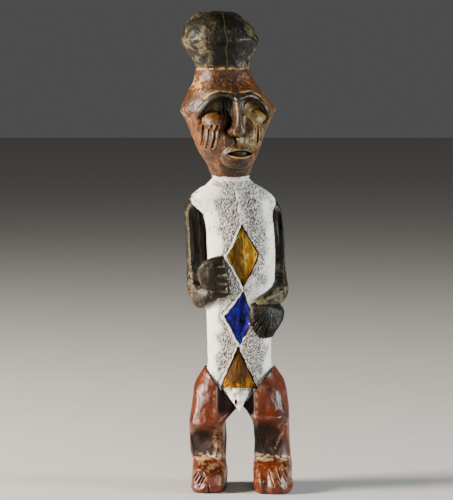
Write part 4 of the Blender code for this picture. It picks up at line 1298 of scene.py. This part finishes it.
footShape = {  # as for the legs
    "right": [
        (14.0, 44.4, -43.0, 20.5, 0, 3.3), (13.0, 45.4, -45.6, 22.3, 3, 3.3),
        (11.8, 46.0, -46.5, 23.0, 9, 3.2), (11.5, 46.0, -45.0, 23.0, 15, 3.1),
        (12.2, 45.6, -39.5, 23.0, 22, 3.0), (13.2, 44.8, -33.0, 21.8, 27, 2.9),
        (14.0, 43.8, -30.5, 20.5, 29.2, 2.8), (15.6, 42.2, -28.0, 19.0, 30.4, 2.7),
    ],
    "left": [
        (15.0, 48.4, -45.6, 20.5, 0, 3.3), (13.8, 50.0, -47.8, 22.3, 3, 3.3),
        (12.9, 50.6, -48.2, 23.0, 9, 3.2), (12.7, 50.6, -46.5, 23.0, 15, 3.1),
        (12.8, 50.0, -40.5, 23.0, 22, 3.0), (13.3, 49.0, -33.0, 21.8, 27, 2.9),
        (14.0, 48.0, -30.5, 20.5, 29.2, 2.8), (15.8, 46.4, -28.0, 19.0, 30.4, 2.7),
    ],
    "toeCuts": {
        "right": [
            ((34.5, 9.5), (31.0, 14.5)), ((37.5, 9.0), (33.5, 15.5)),
            ((40.0, 11.0), (36.8, 16.5)), ((42.0, 13.0), (39.5, 18.0)),
        ],
        "left": [
            ((28.5, 21.5), (33.5, 8.0)), ((34.5, 22.0), (39.5, 10.0)),
            ((39.8, 22.0), (44.5, 12.0)), ((44.8, 22.5), (48.8, 14.0)),
        ],
    },
}


def fromEdges(rows, sign):
    return [(sign * (a + b) / 2, (front + back) / 2, z, (b - a) / 2, (back - front) / 2, square)
            for a, b, front, back, z, square in rows]


def legs():
    finish = redWood()
    for side, sign in (("right", -1), ("left", 1)):
        grid = loinGrid(fromEdges(legShape[side], sign), rows=190, columns=230, low=29.0)
        grid = shaved(grid, cuts=22, depth=0.8, reach=26, seed=81 if sign < 0 else 82, soft=8)
        grid = shaved(grid, cuts=30, depth=0.22, reach=16, seed=83 if sign < 0 else 84, soft=4)
        x, y, z = np.moveaxis(grid.copy(), -1, 0)
        outX = x * sign
        # the corners of the thigh's top come in flush with the trunk
        waist = trunkSlice(np.clip(z, 66, 120))
        outer = graph([(row[4], row[1]) for row in legShape[side]])(z) + 0.3
        offset = y - waist[..., 1]
        limitY = (waist[..., 4] + 0.8) * np.clip(1 - np.abs(outX / outer) ** 2.5, 0, 1) ** 0.4
        y = y + (np.clip(offset, -limitY, limitY) - offset) * ramp(92, 112, z)
        front = ramp(-2, -14, y)
        knee = legShape["kneeEdge"][side]
        # beside its knife-edged ridge the shin is hollowed under the knee
        middle, half = legShape["hollow"][side]
        under = ramp(knee, knee - 4, z) * ramp(27, 33, z)
        bowl = dish(outX, z, (middle, 44), (half + 4.5, 26), 0.7) * front
        hollow = under * bowl
        y = y + legShape["hollowDepth"] * hollow
        # the loins fall back beside the point
        loinEdge = legShape["pelvis"][side]
        pelvis = ramp(loinEdge + 1.5, loinEdge - 2.5, outX) * ramp(70, 78, z) * front
        y = y + legShape["pelvisDepth"] * pelvis
        grid = roughened(np.stack([x, y, z], axis=-1), size=12, depth=0.14, seed=85, octaves=2)
        blotch = noise(grid, 8, 86, 3)
        fine = noise(grid, 3, 87, 3)
        at, slope = legShape["khakiEdge"][side]
        shinEdge = bump(outX - at - slope * (z - 50), 1.6) * ramp(knee, knee - 4, z) * front
        arch = knee - 1.0 - 0.035 * (outX - middle) ** 2 + 1.5 * blotch
        dim = ramp(arch + 1.0, arch - 9.0, z) * ramp(29, 34, z) * front
        dim *= ramp(middle - half - 6, middle - half + 2, outX)
        dim *= ramp(middle + half + 9, middle + half - 2, outX + blotch) * (1 - 0.45 * ramp(0.35, 0.9, fine))
        # the inner front facet beside the loins catches the light: its khaki is a painted highlight
        thighEdge = bump(outX - loinEdge - 3.0, 1.6) * ramp(66, 72, z) * ramp(100, 92, z) * front

        shade = 1.15 * dim + 0.40 * ramp(arch + 3, arch - 12, z) * front * ramp(29, 36, z) + 1.2 * pelvis
        shade += 0.85 * ramp(17.5, 12.5, outX) * ramp(-14, -8, y) * ramp(30, 36, z)  # inner side of the shin
        khaki = 0.9 * shinEdge * ramp(-0.6, 0.3, fine)
        if side == "left":
            shade += 0.5 * ramp(24, 17, outX) * ramp(100, 92, z) * ramp(-38, -30, y)
        else:
            # on the right leg the inner front facet below the knee is lit: painted highlight
            khaki += 0.7 * ramp(24, 21, outX) * ramp(knee + 6, knee - 2, z) * front * ramp(-0.7, 0.3, fine)
        shade += ramp(9.0, 2.0, outX) * ramp(60, 72, z)  # between the thighs
        khaki += 0.8 * thighEdge * ramp(-0.6, 0.3, fine) + 0.45 * ramp(0.3, 0.8, fine) * hollow
        khaki += 0.6 * bump(z - 32, 3.0) * ramp(-0.4, 0.4, fine)
        masks = {
            "shade": np.clip(shade, 0, 1),
            "khaki": np.clip(khaki, 0, 1),
            "pale": 0.80 * bump(z - 31.0 - 1.8 * blotch, 2.3) * ramp(-0.5, 0.6, fine + 0.4 * blotch),
        }
        piece = gridPiece(f"{side}_leg_carved", grid, masks, blur=6, height=0.8)
        place(piece, f"{side}_leg", finish)


def feet():
    finish = redWood()
    for side, sign in (("right", -1), ("left", 1)):
        grid = columnGrid(fromEdges(footShape[side], sign), rows=120, columns=330)
        height = grid[..., 2]
        between = (height > 6) & (height < 27)  # the sole and the ankle stay uncut
        cut = shaved(grid, cuts=60, depth=0.7, reach=15, seed=91 if sign < 0 else 92, where=between)
        grid = grid + (cut - grid) * ramp(3, 8, height)[..., None]
        x, y, z = np.moveaxis(grid.copy(), -1, 0)
        front = ramp(-14, -26, y)
        outX = x * sign
        marks = np.zeros_like(x)
        khaki = np.zeros_like(x)
        if side == "right":
            split = bump(outX - 27.0 - 0.12 * z, 1.1) * ramp(13, 6, z) * front
            hollow = dish(outX, z, (37.0, 12.5), (7.5, 9.0), 0.6) * front * ramp(30, 40, outX + 4)
            y = y + 1.5 * split + 2.6 * hollow
            marks = np.maximum(marks, 0.8 * split)
        else:
            y = y + 2.4 * ramp(20.5, 25.5, outX) * ramp(32, 27, outX) * ramp(22, 14, z) * front
        for start, end in footShape["toeCuts"][side]:
            gap, along = lineGap(outX, z, start, end)
            groove = ramp(1.05, 0.15, gap) * ramp(-0.1, 0.15, along) * ramp(-8, -20, y)
            y = y + 1.5 * groove
            if side == "left":
                khaki = np.maximum(khaki, ramp(1.9, 0.7, gap) * ramp(-8, -20, y))
            else:
                marks = np.maximum(marks, groove)
        grid = roughened(np.stack([x, y, z], axis=-1), size=8, depth=0.30 * ramp(0, 3, z), seed=93, octaves=2)
        blotch = noise(grid, 6, 94, 3)
        masks = {
            "shade": marks,
            "khaki": np.clip(0.9 * khaki + 0.75 * ramp(-0.1, 0.7, blotch) * ramp(2, 12, z), 0, 1),
            "pale": 0.85 * bump(z - 30.2 - 1.2 * blotch, 2.3) * ramp(-0.6, 0.5, blotch),
        }
        piece = gridPiece(f"{side}_foot_carved", grid, masks, blur=5, height=0.8)
        place(piece, f"{side}_foot", finish)


studio = {
    "distance": 2.5, "lookDown": 4.0, "aim": (-0.0104, 0.225), "fieldHeight": 0.4704,
    "key": {"at": (-2.05, -0.42, 0.85), "size": (0.7, 1.2), "watts": 225.0, "colour": (1.0, 0.90, 0.79)},
    "fill": {"at": (2.0, -0.50, 0.60), "size": (0.5, 1.2), "watts": 74.0, "colour": (0.86, 0.93, 1.0)},
    "top": {"at": (0.2, -1.9, 1.3), "size": (1.2, 0.9), "watts": 9.0, "colour": (1.0, 0.98, 0.95)},
    "floor": (0.56, 0.545, 0.52), "floorReach": 12.0, "floorGap": 0.0002,
    "air": (0.80, 0.80, 0.80), "airStrength": 0.10,
}


def light(name, facts, target):
    lamp = bpy.data.lights.new(name, "AREA")
    lamp.shape = "RECTANGLE"
    lamp.size, lamp.size_y = facts["size"]
    lamp.energy = facts["watts"]
    lamp.color = facts["colour"]
    holder = bpy.data.objects.new(name, lamp)
    holder.location = facts["at"]
    holder.rotation_euler = (Vector(target) - Vector(facts["at"])).to_track_quat("-Z", "Y").to_euler()
    bpy.context.scene.collection.objects.link(holder)


def studioSet():
    scene = bpy.context.scene
    aimX, aimZ = studio["aim"]
    target = (boxMiddle[0] + aimX, boxMiddle[1], cadBox[0][2] + aimZ)
    for name in ("key", "fill", "top"):
        light(name, studio[name], target)
    world = bpy.data.worlds.new("softRoom")
    world.use_nodes = True
    air = world.node_tree.nodes["Background"]
    air.inputs["Color"].default_value = (*studio["air"], 1.0)
    air.inputs["Strength"].default_value = studio["airStrength"]
    scene.world = world
    reach, level = studio["floorReach"], cadBox[0][2] - studio["floorGap"]
    corners = [(-reach, -reach, level), (reach, -reach, level), (reach, reach, level), (-reach, reach, level)]
    mesh = bpy.data.meshes.new("floor")
    mesh.from_pydata(corners, [], [(0, 1, 2, 3)])
    floor = bpy.data.objects.new("floor", mesh)
    scene.collection.objects.link(floor)
    finish, tree, surface = newFinish("paleFloor", roughness=0.7)
    grain = mottle(tree, 0.05, 0.3, 0.7)
    darker = tuple(c * 0.96 for c in studio["floor"])
    tree.links.new(layered(tree, studio["floor"], [(grain, darker)]), surface.inputs["Base Color"])
    mesh.materials.append(finish)
    camera = bpy.data.cameras.new("camera")
    camera.sensor_fit = "VERTICAL"
    camera.sensor_height = 24.0
    camera.lens = camera.sensor_height * studio["distance"] / studio["fieldHeight"]
    camera.clip_end = 20.0
    down = math.radians(studio["lookDown"])
    holder = bpy.data.objects.new("camera", camera)
    back, up = studio["distance"] * math.cos(down), studio["distance"] * math.sin(down)
    holder.location = (target[0], target[1] - back, target[2] + up)
    holder.rotation_euler = (math.pi / 2 - down, 0, 0)
    scene.collection.objects.link(holder)
    scene.camera = holder


topknot()
head()
trunk()
paintedPanels()
loinPointPiece()
arms()
rightHand()
leftHand()
legs()
feet()
print("figure carved and finished")
studioSet()
print("studio set")
